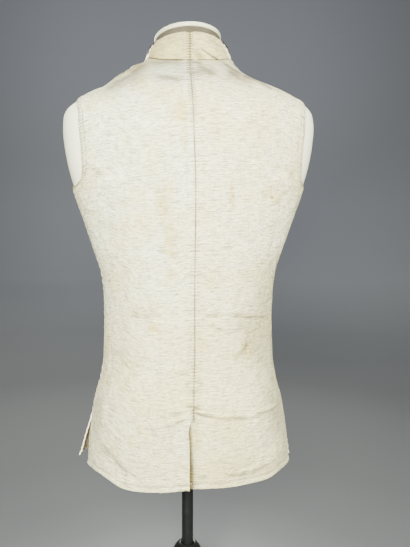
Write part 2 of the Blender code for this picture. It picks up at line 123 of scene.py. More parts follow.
# %% A socket with arithmetic
class Wire:
    """An output socket whose arithmetic signs add Math nodes."""

    def __init__(self, paint, socket):
        self.paint, self.socket = paint, socket

    def math(self, operation, *values):
        return self.paint.add("ShaderNodeMath", dict(enumerate(values)), operation=operation)

    def sine(self):
        return self.math("SINE", self)

    def __abs__(self):
        return self.math("ABSOLUTE", self)

    def __add__(self, other):
        return self.math("ADD", self, other)

    def __sub__(self, other):
        return self.math("SUBTRACT", self, other)

    def __rsub__(self, other):
        return self.math("SUBTRACT", other, self)

    def __mul__(self, other):
        return self.math("MULTIPLY", self, other)

    def __pow__(self, other):
        return self.math("POWER", self, other)

    __radd__ = __add__
    __rmul__ = __mul__


print("wire methods:", [name for name in vars(Wire) if callable(getattr(Wire, name))])


# %% A material with one method for nodes
class Paint:
    """A material built round one Principled shader."""

    def __init__(self, name, roughness=0.5, **constants):
        self.material = bpy.data.materials.new(name)
        self.material.use_nodes = True
        self.tree = self.material.node_tree
        self.shader = self.tree.nodes["Principled BSDF"]
        self.set("Roughness", roughness)
        for socket, value in constants.items():
            self.set(socket.replace("_", " "), value)

    def plug(self, socket, value):
        """Links a wire to a socket, or writes a plain number or colour on it."""
        if isinstance(value, Wire):
            self.tree.links.new(value.socket, socket)
        elif isinstance(value, tuple) and socket.type == "RGBA":
            socket.default_value = (*value, 1.0)
        else:
            socket.default_value = value

    def set(self, socket, value):
        self.plug(self.shader.inputs[socket], value)

    def add(self, kind, inputs=None, output=0, stops=None, **settings):
        """Adds any node: its settings and ramp stops first, then its sockets."""
        node = self.tree.nodes.new(kind)
        for key, value in settings.items():
            setattr(node, key, value)
        if stops:
            ramp = node.color_ramp.elements
            while len(ramp) < len(stops):
                ramp.new(0.5)
            for element, (place, colour) in zip(ramp, stops):
                element.position, element.color = place, (*colour, 1.0)
        for key, value in (inputs or {}).items():
            self.plug(node.inputs[key], value)
        return Wire(self, node.outputs[output])

    def mix(self, share, colour, other):
        """One colour turned into another by a share from 0 to 1."""
        inputs = {0: share, 6: colour, 7: other}
        return self.add("ShaderNodeMix", inputs, output=2, data_type="RGBA")

    def step(self, value, start, end):
        """0 at start, 1 at end, and a smooth step between them."""
        inputs = {"Value": value, "From Min": start, "From Max": end}
        return self.add("ShaderNodeMapRange", inputs, interpolation_type="SMOOTHSTEP")

    def stretch(self, where, scale):
        return self.add("ShaderNodeVectorMath", {0: where, 1: scale}, operation="MULTIPLY")

    def cloud(self, where, scale, detail=2.0, roughness=0.5):
        """Soft noise from 0 to 1."""
        inputs = {"Vector": where, "Scale": scale, "Detail": detail, "Roughness": roughness}
        return self.add("ShaderNodeTexNoise", inputs)

    def cloth(self, layer="Cloth"):
        """A place on the flat cloth, in metres: across the warp, then up along it."""
        return self.add("ShaderNodeUVMap", uv_map=layer)

    def place(self):
        return self.add("ShaderNodeTexCoord", output="Object")

    def share(self, name):
        """A number that the mesh keeps at each of its corners."""
        return self.add("ShaderNodeAttribute", output="Fac", attribute_name=name)

    def parts(self, where):
        """The three numbers of a vector, as wires."""
        split = self.add("ShaderNodeSeparateXYZ", {0: where}).socket.node
        return [Wire(self, socket) for socket in split.outputs]

    def bump(self, height, depth, under=None):
        """Relief: height from 0 to 1 stands for a depth in metres."""
        inputs = {"Height": height, "Distance": depth, "Strength": 1.0}
        if under is not None:
            inputs["Normal"] = under
        return self.add("ShaderNodeBump", inputs)


print("painting methods:", [name for name in vars(Paint) if not name.startswith("_")])

# %% [markdown]
# ## The room
#
# The form stands on a pale studio floor that curves up into a wall all round, so that no horizon line
# crosses the picture. One turned profile makes the room. A ramp over the distance from the form's foot
# paints a pool of light into its grey: painted shade on the floor behind the form, paler painted light
# low on the wall, and painted shade again upwards and towards both sides.

# %% Turn the room
ROOM_RADIUS, ROOM_HEIGHT, ROOM_SWEEP = 3.4, 4.2, 1.6
ROOM_SIDES, SWEEP_STEPS, ROOM_SINK = 64, 12, 0.0005
ROOM_TINT, DIM_GREY = (0.92, 0.97, 1.09), (0.03, 0.03, 0.032)
DIM_MIDDLE, DIM_START, DIM_END, DIM_SHARE = -0.35, 0.8, 2.3, 0.55
Shade = namedtuple("Shade", "reach shade")
ROOM_SHADES = table_of(
    Shade,
    (0, 0.11), (0.26, 0.105), (0.36, 0.078), (0.5, 0.059), (0.8, 0.049), (2, 0.047), (2.8, 0.066),
    (3.6, 0.112), (4.5, 0.118), (5.5, 0.102), (6.4, 0.08), (7.6, 0.07),
)


def spun(profile, sides):
    """A bmesh turned from (radius, height) points about the upright axis, doubles merged."""
    bm = bmesh.new()
    verts = [bm.verts.new((radius, 0, height)) for radius, height in profile]
    edges = [bm.edges.new(pair) for pair in zip(verts, verts[1:])]
    bmesh.ops.spin(
        bm, geom=verts + edges, cent=(0, 0, 0), axis=(0, 0, 1), angle=2 * math.pi,
        steps=sides, use_merge=True,
    )
    bmesh.ops.remove_doubles(bm, verts=bm.verts[:], dist=1e-6)
    bmesh.ops.recalc_face_normals(bm, faces=bm.faces[:])
    return bm


def turned(name, profile, sides, material, smooth_angle=40):
    return as_object(name, spun(profile, sides), material, smooth_angle)


def as_object(name, bm, material, smooth_angle=40):
    """Turns a bmesh into an object at the origin, shaded smooth but for its sharp edges."""
    mesh = bpy.data.meshes.new(name)
    bm.to_mesh(mesh)
    bm.free()
    mesh.materials.append(material)
    mesh.shade_smooth()
    mesh.set_sharp_from_angle(angle=math.radians(smooth_angle))
    thing = bpy.data.objects.new(name, mesh)
    bpy.context.scene.collection.objects.link(thing)
    return thing


def arc(radius, height, size, start, end, steps):
    """Points of a round stretch of a profile, between two angles in degrees."""
    turns = [math.radians(start + (end - start) * i / steps) for i in range(steps + 1)]
    return [(radius + size * math.cos(turn), height + size * math.sin(turn)) for turn in turns]


def make_room():
    paint = Paint("room_grey", roughness=0.9)
    x, y, height = paint.parts(paint.place())
    away = (x * x + y * y) ** 0.5
    # The ramp's stops are painted light and shade.
    stops = [
        (row.reach / (ROOM_RADIUS + ROOM_HEIGHT), tuple(row.shade * part for part in ROOM_TINT))
        for row in ROOM_SHADES
    ]
    share = (away + height) * (1 / (ROOM_RADIUS + ROOM_HEIGHT))
    along = paint.add("ShaderNodeValToRGB", {0: share}, stops=stops)
    # Painted shade towards both sides.
    dim = paint.step(abs(x - DIM_MIDDLE), DIM_START, DIM_END) * DIM_SHARE
    paint.set("Base Color", paint.mix(dim, along, DIM_GREY))
    sweep = arc(ROOM_RADIUS - ROOM_SWEEP, ROOM_SWEEP, ROOM_SWEEP, -90, 0, SWEEP_STEPS)
    profile = [(0, 0)] + sweep + [(ROOM_RADIUS, ROOM_HEIGHT)]
    room = turned("room", profile, ROOM_SIDES, paint.material)
    room.location.z = -ROOM_SINK
    return room


print("room:", len(make_room().data.polygons), "faces")

# %% [markdown]
# ## The light
#
# A soft key near the camera and a broad fill from one side keep the cloth pale and its shadows short, so
# that weave and creases show as a gentle grazing pattern. Two more lamps show the fronts, and two light
# the walls. Each is a square that looks at its target. A dim sky fills what the lamps leave.

# %% Hang the lamps
FORM_MIDDLE, BACKDROP, FAR_WALL = (0, 0, 0.62), (0, -3.2, 1.1), (0, 3.2, 1.1)
Lamp = namedtuple("Lamp", "name place target size power colour")
LAMPS = [
    Lamp("key", (0.29, 1.30, 0.80), FORM_MIDDLE, 0.5, 112, (1.0, 0.985, 0.82)),
    Lamp("fill", (-1.35, 1.2, 1.0), FORM_MIDDLE, 0.9, 58, (1.0, 0.985, 0.82)),
    Lamp("front_left", (0.60, -2.0, 1.9), FORM_MIDDLE, 0.8, 75, (1.0, 0.985, 0.83)),
    Lamp("front_right", (-0.8, -1.9, 1.1), FORM_MIDDLE, 0.8, 14, (1.0, 0.985, 0.83)),
    Lamp("backdrop", (0.0, -0.9, 3.6), BACKDROP, 1.6, 160, (0.94, 0.97, 1.0)),
    Lamp("far_wall", (0.0, 0.9, 3.6), FAR_WALL, 1.6, 160, (0.94, 0.97, 1.0)),
]
SKY = (0.55, 0.55, 0.50)
SKY_STRENGTH = 0.12


def hang_lamps():
    for row in LAMPS:
        light = bpy.data.lights.new(row.name, "AREA")
        light.energy, light.size, light.color = row.power, row.size, row.colour
        lamp = bpy.data.objects.new(row.name, light)
        lamp.location = row.place
        lamp.rotation_euler = (Vector(row.target) - lamp.location).to_track_quat("-Z", "Y").to_euler()
        bpy.context.scene.collection.objects.link(lamp)
    world = bpy.data.worlds.new("sky")
    world.use_nodes = True
    world.node_tree.nodes["Background"].inputs["Color"].default_value = (*SKY, 1.0)
    world.node_tree.nodes["Background"].inputs["Strength"].default_value = SKY_STRENGTH
    bpy.context.scene.world = world


hang_lamps()
print("lamps:", len(LAMPS))

# %% [markdown]
# ## The torso that everything hangs on
#
# A garment takes its shape from the body in it, so the form is described first, as level sections from
# the hips to the neck. Each is a rounded box: its half width, how far it reaches in front and behind,
# and how square it is. Reading the table on a smooth curve gives a section at any height, and an angle
# round the body then gives a point. Angles start at the wearer's left and run through the back at 90.

# %% The form's sections, and reading a table smoothly
FORM_FOOT, COLLAR_TOP, CAP_FOOT, CAP_TOP = 330, 1022, 1034, 1041
Section = namedtuple("Section", "height half_width front back squareness")
SECTIONS = table_of(
    Section,
    (262, 168, 100, 98, 2.3), (300, 167, 101, 99, 2.3), (340, 164.5, 102, 102, 2.3),
    (378, 161, 102, 104, 2.3), (408, 156, 101, 104, 2.3), (440, 148, 98, 100, 2.3),
    (480, 142.5, 94, 93, 2.3), (540, 141.5, 92, 88, 2.3), (590, 143.5, 94, 89, 2.3),
    (626, 149, 98, 93, 2.3), (655, 159, 102, 98, 2.3), (712, 179.5, 109, 107, 2.3),
    (769, 200, 114, 113, 2.35), (805, 210.5, 115, 116, 2.4), (840, 217, 113, 117, 2.4),
    (870, 220, 109, 115, 2.4), (890, 219.5, 103, 111, 2.3), (902, 216, 98, 107, 2.15),
    (911, 207.5, 94, 103.5, 2.05), (918, 197, 90, 100.5, 2), (925, 185, 87, 97.5, 2),
    (932, 168.5, 84, 94, 2), (946, 132, 78, 86, 2), (960, 105.5, 72, 77, 2), (973, 90.5, 67, 69, 2),
    (985, 80.5, 63.5, 64, 2), (997, 73, 61, 60.5, 2), (1006, 65, 58.5, 58.5, 2),
    (1014, 59, 57, 57, 2), (1022, 57, 57, 57, 2), (1034, 57, 57, 57, 2),
)


def smooth_read(table, column, keys):
    """A column at many keys of the first one, on a smooth curve that never overshoots."""
    x, y = np.array([(row[0], getattr(row, column)) for row in table], float).T
    span = np.diff(x)
    slope = np.diff(y) / span
    bends = slope[:-1] * slope[1:]
    tangent = np.zeros(len(x))
    tangent[1:-1] = np.where(bends > 0, 2 * bends / (slope[:-1] + slope[1:] + (bends <= 0)), 0)
    keys = np.clip(keys, x[0], x[-1])
    low = np.clip(np.searchsorted(x, keys, side="right") - 1, 0, len(span) - 1)
    t = (keys - x[low]) / span[low]
    start, end = tangent[low] * span[low], tangent[low + 1] * span[low]
    rise = y[low] * (1 + 2 * t) * (1 - t) ** 2 + y[low + 1] * t * t * (3 - 2 * t)
    return rise + start * t * (1 - t) ** 2 - end * t * t * (1 - t)


def ramp(value, start, end):
    """0 before start, 1 past end, and a smooth step between them."""
    t = np.clip((value - start) / (end - start), 0, 1)
    return t * t * (3 - 2 * t)


print("sections:", len(SECTIONS))


# %% Points on the torso and the directions out of it
def section_at(height):
    return [smooth_read(SECTIONS, column, height) for column in Section._fields[1:]]


def torso_at(angle, height):
    """Points of the torso at angles in degrees and heights."""
    half_width, front, back, squareness = section_at(height)
    across, along = np.cos(np.radians(angle)), np.sin(np.radians(angle))
    depth = np.where(along > 0, back, front)
    x = np.sign(across) * half_width * np.abs(across) ** (2 / squareness)
    y = np.sign(along) * depth * np.abs(along) ** (2 / squareness)
    return np.stack([x, y, height + 0 * angle], axis=-1)


def unit(vectors):
    return vectors / np.linalg.norm(vectors, axis=-1, keepdims=True)


def torso_normal(angle, height):
    """The directions straight out of the torso's surface at those points."""
    half_width, front, back, squareness = section_at(height)
    here = torso_at(angle, height)
    climb = (torso_at(angle, height + 1) - torso_at(angle, height - 1)) / 2
    depth = np.where(here[..., 1] > 0, back, front)
    x, y = here[..., 0], here[..., 1]
    out_x = np.sign(x) * np.abs(x / half_width) ** (squareness - 1) / half_width
    out_y = np.sign(y) * np.abs(y / depth) ** (squareness - 1) / depth
    return unit(np.stack([out_x, out_y, -(out_x * climb[..., 0] + out_y * climb[..., 1])], axis=-1))


def angle_across(across, height, behind):
    """The angle at which the torso lies a given distance across from its middle plane."""
    half_width, _, _, squareness = section_at(height)
    share = np.minimum(1.0, (np.abs(across) / half_width) ** (squareness / 2))
    angle = np.degrees(np.arccos(np.sign(across) * share))
    return angle if behind else -angle


def degrees_for(distance, angle, height):
    """How many degrees a short distance round the torso takes up at a point."""
    arc_length = np.linalg.norm(torso_at(angle + 0.5, height) - torso_at(angle - 0.5, height), axis=-1)
    return distance / arc_length


print("waist:", 2 * section_at(540.0)[0], "mm wide; chest:", 2 * section_at(870.0)[0], "mm wide")

# %% [markdown]
# ## How the cloth hangs on it
#
# Each piece of the waistcoat is a grid of points: across runs from the side or armhole edge to the
# centre, and row runs from the hem up to the neckline. A function hangs every point a little way off
# the torso, so the same few tables give the back, the fronts and both sides. Where the left piece laps
# over the right one it is lifted clear, and the largest folds are soft ridges between two places.

# %% The cloth's edges, laps and large folds
SIDES = {"left": 1, "right": -1}
SEAM_GAP = 0.3
LINEN_WALL, SILK_WALL = 1.6, 1.8
HEM_ROW_HEIGHT, HEM_FRONT, HEM_FRONT_SIDE = 280, 292, 300
SLIT_TOP, VENT_TOP, UNDERARM = 378, 408, 766
FRONT_TIP, SHOULDER_TIP = 882, 925
PIT_OF_NECK, NAPE, NECK_POINT = 930, 967, 997
SIDE_SEAM_BACKWARD, SIDE_SEAM_END = 8, 790
SHOULDER_TIP_ANGLE, SHOULDER_SEAM_ANGLE, SHOULDER_SEAM_SETTLED = 5, 19, 958
LAP_LIFT, LAP_LEVEL, LAP_FALL, FRONT_LAP = 3.1, 20, 28, 12
VENT_UNDERLAP, VENT_LEVEL, VENT_FALL, VENT_LIFT_FADE = 24, 10, 30, 28
VENT_EDGE_SHIFT, VENT_EDGE_FALL = 9.5, 34
CUTAWAY_TOP, CUTAWAY_SPREAD = 505, 88
SLIT_SWING_LEFT, SLIT_SWING_RIGHT, SLIT_SWING_REACH, SLIT_SWING_POWER = 15, 3, 75, 1.2
NAPE_POWER, THROAT_POWER = 2.4, 1.5
Ease = namedtuple("Ease", "height gap")
EASE = table_of(
    Ease,
    (262, 8), (330, 7), (378, 6), (450, 4.6), (540, 4.4), (620, 3.8), (700, 2.6), (769, 1.8),
    (850, 1.2), (905, 1.4), (925, 1.4), (950, 1), (1022, 0.8),
)

Armhole = namedtuple("Armhole", "height back front")
ARMHOLE = table_of(
    Armhole,
    (UNDERARM, 0, 0), (769, 17, -14), (776, 27, -26), (790, 33, -36), (812, 35.5, -43),
    (838, 36.5, -46), (864, 36.5, -45), (880, 36, -40), (890, 34, -36), (897, 32, -33),
    (903, 30, -30), (908, 27.5, -27.5), (912, 25, -25), (915.5, 22.5, -22), (919, 19, -18),
    (922, 13.5, -12), (SHOULDER_TIP, SHOULDER_TIP_ANGLE, SHOULDER_TIP_ANGLE),
)

Hem = namedtuple("Hem", "angle height")
HEM_BACK = table_of(
    Hem,
    (0, 286), (18, 292), (32, 291), (41, 286.5), (49, 279.5), (55, 276), (62, 275), (75, 276.5),
    (90, 283), (105, 283.5), (122, 286.5), (133, 288.5), (152, 297.5), (163, 298), (180, 292),
)

Cutaway = namedtuple("Cutaway", "height spread")
CUTAWAY = table_of(
    Cutaway,
    (262, CUTAWAY_SPREAD), (330, 0.74 * CUTAWAY_SPREAD), (400, 0.4 * CUTAWAY_SPREAD),
    (460, 0.08 * CUTAWAY_SPREAD), (CUTAWAY_TOP, -FRONT_LAP), (NECK_POINT, -FRONT_LAP),
)

SeamLine = namedtuple("SeamLine", "height across")
CENTRE_BACK = table_of(
    SeamLine,
    (262, -1), (340, -1), (408, 1.8), (440, 0.8), (482, -1.1), (520, -1.6), (640, -1.5),
    (760, -0.5), (860, 3), (940, 4.5), (1022, 2),
)

Fold = namedtuple("Fold", "angle_a height_a angle_b height_b rise reach")
FOLD_DEGREE = 2.6
FOLDS = table_of(
    Fold,
    (91, 405, 116, 390, 3, 11), (110, 391, 154, 403, 3, 11), (88, 411, 74, 395, 2, 9),
    (87, 392, 65, 375, 2, 10), (33, 338, 64, 290, -3.5, 16), (118, 312, 158, 330, 2.5, 13),
    (44, 553, 74, 548, -2, 12), (93, 552, 132, 552, -2.5, 12), (96, 527, 124, 524, 2, 12),
    (126, 528, 114, 485, 1.8, 12), (34, 485, 87, 463, 1.8, 13), (19, 934, 19, 986, 10, 30),
    (-62, 552, -30, 556, -2, 12), (242, 548, 210, 555, -2, 12), (-55, 500, -18, 478, 1.8, 13),
    (235, 505, 198, 484, 1.8, 13), (-48, 400, -22, 345, 2.5, 15), (230, 395, 204, 345, 2.5, 15),
)


print("large folds:", len(FOLDS))


# %% Lay the folds, lift the laps and swing the slits
def wall_of(behind):
    return LINEN_WALL if behind else SILK_WALL


def fold_rise(angle, height):
    """The sum of the large folds' heights: each is a soft ridge that dies at both its ends."""
    total = 0 * angle
    for fold in FOLDS:
        centre = (fold.angle_a + fold.angle_b) / 2
        turn = (angle - centre + 180) % 360 - 180 + centre
        run_x, run_z = (fold.angle_b - fold.angle_a) * FOLD_DEGREE, fold.height_b - fold.height_a
        x, z = (turn - fold.angle_a) * FOLD_DEGREE, height - fold.height_a
        share = (x * run_x + z * run_z) / (run_x ** 2 + run_z ** 2)
        near = np.clip(share, 0, 1)
        off = np.hypot(x - run_x * near, z - run_z * near)
        taper = ramp(share, -0.05, 0.35) * ramp(1 - share, -0.05, 0.35)
        total += fold.rise * taper * np.exp(-((off / fold.reach) ** 2))
    return total


def lap_lift(side, point):
    """The left pieces rise over the right ones at the front lap and at the centre back vent."""
    if side < 0:
        return 0 * point[..., 0]
    x, y, z = point[..., 0], point[..., 1], point[..., 2]
    front_level, back_level = FRONT_LAP + LAP_LEVEL, VENT_UNDERLAP + VENT_LEVEL
    front = 1 - ramp(x, front_level, front_level + LAP_FALL)
    behind = 1 - ramp(x, back_level, back_level + VENT_FALL)
    behind = behind * (1 - ramp(z, VENT_TOP, VENT_TOP + VENT_LIFT_FADE))
    return LAP_LIFT * np.where(y < 0, front, behind)


def slit_swing(side, point):
    """The front skirts' back edges stand out below the side slits, the left one much further."""
    reach = SLIT_SWING_LEFT if side > 0 else SLIT_SWING_RIGHT
    below = np.maximum(0.0, SLIT_TOP - point[..., 2]) / (SLIT_TOP - HEM_FRONT_SIDE)
    near = 1 - ramp(SIDE_SEAM_BACKWARD - point[..., 1], 0, SLIT_SWING_REACH)
    return reach * below ** SLIT_SWING_POWER * near


def cloth_at(side, behind, angle, height, out):
    """Points of a piece, out millimetres from its inner face. side is 1 on the wearer's left."""
    point = torso_at(angle, height)
    gap = smooth_read(EASE, "gap", height) + fold_rise(angle, height) + lap_lift(side, point)
    if not behind:
        gap = gap + slit_swing(side, point)
    return point + torso_normal(angle, height) * (gap + out)[..., None]


print("centre back:", cloth_at(1, True, np.array(90.0), 540.0, LINEN_WALL).round(1))

# %% Rows from the hem to the neckline, and a piece's two upright edges
ROWS_TO_SLIT, ROWS_TO_VENT, ROWS_TO_UNDERARM = 6, 2, 16
COLUMN_CROWDING, ROW_FANNING = 1.25, 2.3
ROW_HEIGHTS = np.concatenate([
    np.linspace(HEM_ROW_HEIGHT, SLIT_TOP, ROWS_TO_SLIT, endpoint=False),
    np.linspace(SLIT_TOP, VENT_TOP, ROWS_TO_VENT, endpoint=False),
    np.linspace(VENT_TOP, UNDERARM, ROWS_TO_UNDERARM, endpoint=False),
    [row.height for row in ARMHOLE],
    [row.height for row in SECTIONS if SHOULDER_TIP < row.height <= NECK_POINT],
])
ROWS = len(ROW_HEIGHTS) - 1
UNDERARM_ROW = ROWS_TO_SLIT + ROWS_TO_VENT + ROWS_TO_UNDERARM
TIP_ROW = UNDERARM_ROW + len(ARMHOLE) - 1


def seam_side_angle(height):
    """The angle of the side seam, which lies a little behind the body's widest line."""
    _, _, back, squareness = section_at(height)
    return np.degrees(np.arcsin((SIDE_SEAM_BACKWARD / back) ** (squareness / 2)))


def edge_angle(side, behind, height):
    """Where a piece's outer edge lies: side seam, then armhole, then shoulder seam."""
    armhole = smooth_read(ARMHOLE, "back" if behind else "front", height)
    armhole = armhole + seam_side_angle(height) * (1 - ramp(height, UNDERARM, SIDE_SEAM_END))
    angle = np.where(height <= UNDERARM, seam_side_angle(height), armhole)
    settled = ramp(height, SHOULDER_TIP, SHOULDER_SEAM_SETTLED)
    shoulder = SHOULDER_TIP_ANGLE + (SHOULDER_SEAM_ANGLE - SHOULDER_TIP_ANGLE) * settled
    angle = np.where(height < SHOULDER_TIP, angle, shoulder)
    half_gap = degrees_for(SEAM_GAP / 2, angle, height)
    angle = angle + (half_gap if behind else -half_gap)
    return angle if side > 0 else 180 - angle


def centre_across(side, behind, height):
    """How far from the middle plane a piece's centre edge lies, to the wearer's left."""
    if not behind:
        return side * smooth_read(CUTAWAY, "spread", height)
    seam = smooth_read(CENTRE_BACK, "across", height)
    if side > 0:
        below = 1 - ramp(height, VENT_TOP - VENT_EDGE_FALL, VENT_TOP)
        return seam + SEAM_GAP / 2 + VENT_EDGE_SHIFT * below
    return np.where(height < VENT_TOP - 1, seam + VENT_UNDERLAP, seam - SEAM_GAP / 2)


def hem_height(behind, angle):
    if behind:
        return smooth_read(HEM_BACK, "height", angle)
    return HEM_FRONT + (HEM_FRONT_SIDE - HEM_FRONT) * np.cos(np.radians(angle)) ** 4


print("rows:", ROWS, "hem to neckline")


# %% Place a piece's points between its edges
def neckline_height(angle):
    """The neckline climbs from the nape to the neck point and falls to the pit of the neck."""
    sideways, along = np.abs(np.cos(np.radians(angle))), np.sin(np.radians(angle))
    nape = NAPE + (NECK_POINT - NAPE) * sideways ** NAPE_POWER
    throat = PIT_OF_NECK + (NECK_POINT - PIT_OF_NECK) * sideways ** THROAT_POWER
    return np.where(along > 0, nape, throat)


def past_tip(side, angle, centre_line):
    """How far an angle lies past the shoulder tip, from 0 there to 1 at the centre. Every row falls
    evenly with this share, so no two rows cross."""
    tip = SHOULDER_TIP_ANGLE if side > 0 else 180 - SHOULDER_TIP_ANGLE
    return np.clip((angle - tip) / (centre_line - tip), 0, 1) ** ROW_FANNING


def place_on_torso(side, behind, across, row):
    """The angles and heights of a piece's points."""
    edge_height = np.interp(row, np.arange(ROWS + 1), ROW_HEIGHTS)
    edge = edge_angle(side, behind, edge_height)
    across = across if behind else across ** COLUMN_CROWDING
    centre_line = 90 if behind else (-90 if side > 0 else 270)
    rough_angle = edge + (centre_line - edge) * across
    to_hem = np.clip((SLIT_TOP - edge_height) / (SLIT_TOP - HEM_ROW_HEIGHT), 0, 1)
    skirt = SLIT_TOP + (hem_height(behind, rough_angle) - SLIT_TOP) * to_hem
    height = np.where(row < ROWS_TO_SLIT, skirt, edge_height)
    share = np.clip((row - UNDERARM_ROW) / (TIP_ROW - UNDERARM_ROW), 0, 1)
    centre = UNDERARM + share * ((SHOULDER_TIP if behind else FRONT_TIP) - UNDERARM)
    upper = np.minimum(edge_height, SHOULDER_TIP)
    start, here = past_tip(side, edge, centre_line), past_tip(side, rough_angle, centre_line)
    upper = upper + (centre - upper) * (here - start) / (1 - start)
    height = np.where(row > UNDERARM_ROW, upper, height)
    climb = np.clip((edge_height - SHOULDER_TIP) / (NECK_POINT - SHOULDER_TIP), 0, 1)
    height = height + (neckline_height(rough_angle) - height) * climb
    middle = angle_across(centre_across(side, behind, height), height, behind)
    if side < 0 and not behind:
        middle = middle + 360
    return edge + (middle - edge) * across, height


print("neckline:", [round(float(neckline_height(angle))) for angle in (0, 90, 270)], "mm up")

# %% [markdown]
# ## A piece of cloth as a fine sheet
#
# The plain solids have rows far apart. Here the same rows are split until a cell is under two and a half
# millimetres, which is fine enough for a crease. The points are worked out for a whole sheet at once,
# with the lengths measured across and up it. Those lengths are the cloth's flat pattern: the weave
# follows them, the hems and seams are so many millimetres from an edge, and the creases move points
# along the sheet's own normals. A Solidify modifier gives the sheet its thickness, and a Bevel rounds
# the folded edges.

# %% Lay out a sheet and measure it flat
CELL = 2.4
EDGE_CROWDING = 0.45
Sheet = namedtuple(
    "Sheet", "points normals from_edge from_centre from_hem from_top rows facing relief grime",
)


def crowded(count):
    """Shares from 0 to 1 that lie closer together towards both ends."""
    share = np.linspace(0, 1, count + 1)
    return share - EDGE_CROWDING * np.sin(2 * np.pi * share) / (2 * np.pi)


def running_length(points):
    """The length run along each row of a grid, from its first point."""
    steps = np.linalg.norm(np.diff(points, axis=1), axis=-1)
    return np.cumsum(np.concatenate([np.zeros_like(steps[:, :1]), steps], axis=1), axis=1)


def climbed_length(points):
    """The length climbed from the hem to each point, square to the rows, as the warp threads run."""
    along_row = unit(np.gradient(points, axis=1))
    steps = np.diff(points, axis=0)
    aside = (along_row[1:] + along_row[:-1]) / 2
    steps = steps - aside * (steps * aside).sum(axis=-1, keepdims=True)
    lengths = np.linalg.norm(steps, axis=-1)
    return np.cumsum(np.concatenate([np.zeros_like(lengths[:1]), lengths]), axis=0)


def measured(points, rows, outwards):
    """A sheet with its normals and its flat lengths from each edge. outwards is 1 or -1: whether a
    turn from across to up faces out of the body."""
    normals = np.cross(np.gradient(points, axis=1), np.gradient(points, axis=0))
    across, up = running_length(points), climbed_length(points)
    return Sheet(
        points, unit(normals) * outwards, across, across[:, -1:] - across, up, up[-1:] - up, rows,
        outwards, 0 * up, 0 * up,
    )


def body_sheet(side, behind, columns):
    """The outer face of a back or a front."""
    wall = wall_of(behind)
    across, row = np.meshgrid(crowded(columns), np.arange(ROWS + 1, dtype=float))
    angle, height = place_on_torso(side, behind, across, row)
    coarse = cloth_at(side, behind, angle, height, wall)
    lengths = np.linalg.norm(np.diff(coarse, axis=0), axis=-1).max(axis=1)
    steps = np.maximum(2, np.ceil(lengths / CELL)).astype(int)
    rows = np.concatenate([np.arange(n) / n + i for i, n in enumerate(steps)] + [[ROWS]])
    across, row = np.meshgrid(crowded(columns), rows)
    angle, height = place_on_torso(side, behind, across, row)
    points = cloth_at(side, behind, angle, height, wall)
    return measured(points, row, side if behind else -side)


print("cells of", CELL, "mm")


# %% Make a sheet's mesh and give it a wall
BEVEL_SHARE, BEVEL_SEGMENTS, BEVEL_ANGLE = 0.45, 2, 50


def shell(name, sheet, wall, materials, base_height=0.0):
    """Makes the sheet's mesh with its flat pattern as UVs, and gives it a wall."""
    rows, columns = sheet.points.shape[0] - 1, sheet.points.shape[1] - 1
    bm = bmesh.new()
    bmesh.ops.create_grid(bm, x_segments=columns, y_segments=rows, size=1)
    for vert, point in zip(bm.verts, sheet.points.reshape(-1, 3)):
        vert.co = point * MM
    bm.verts.index_update()
    flat = np.stack([-sheet.from_centre, sheet.from_hem + base_height], axis=-1).reshape(-1, 2) * MM
    sides = np.stack([sheet.from_edge, sheet.relief], axis=-1).reshape(-1, 2) * MM
    # Each corner keeps its share of painted shade and dirt, which the linen's finish reads.
    shade_layer = bm.verts.layers.float.new("Grime")
    for vert, share in zip(bm.verts, sheet.grime.reshape(-1)):
        vert[shade_layer] = share
    pattern, sewn = bm.loops.layers.uv.new("Cloth"), bm.loops.layers.uv.new("Sewn")
    for face in bm.faces:
        for loop in face.loops:
            loop[pattern].uv = flat[loop.vert.index]
            loop[sewn].uv = sides[loop.vert.index]
    if sheet.facing < 0:
        bmesh.ops.reverse_faces(bm, faces=bm.faces[:])
    thing = as_object(name, bm, materials[0], smooth_angle=180)
    for material in materials[1:]:
        thing.data.materials.append(material)
    thickness = thing.modifiers.new("wall", "SOLIDIFY")
    thickness.thickness, thickness.offset = wall * MM, -1
    thickness.material_offset = len(materials) - 1
    edge = thing.modifiers.new("folded_edge", "BEVEL")
    edge.width, edge.segments = BEVEL_SHARE * wall * MM, BEVEL_SEGMENTS
    edge.limit_method, edge.angle_limit = "ANGLE", math.radians(BEVEL_ANGLE)
    return thing


print("walls of", LINEN_WALL, "and", SILK_WALL, "mm")
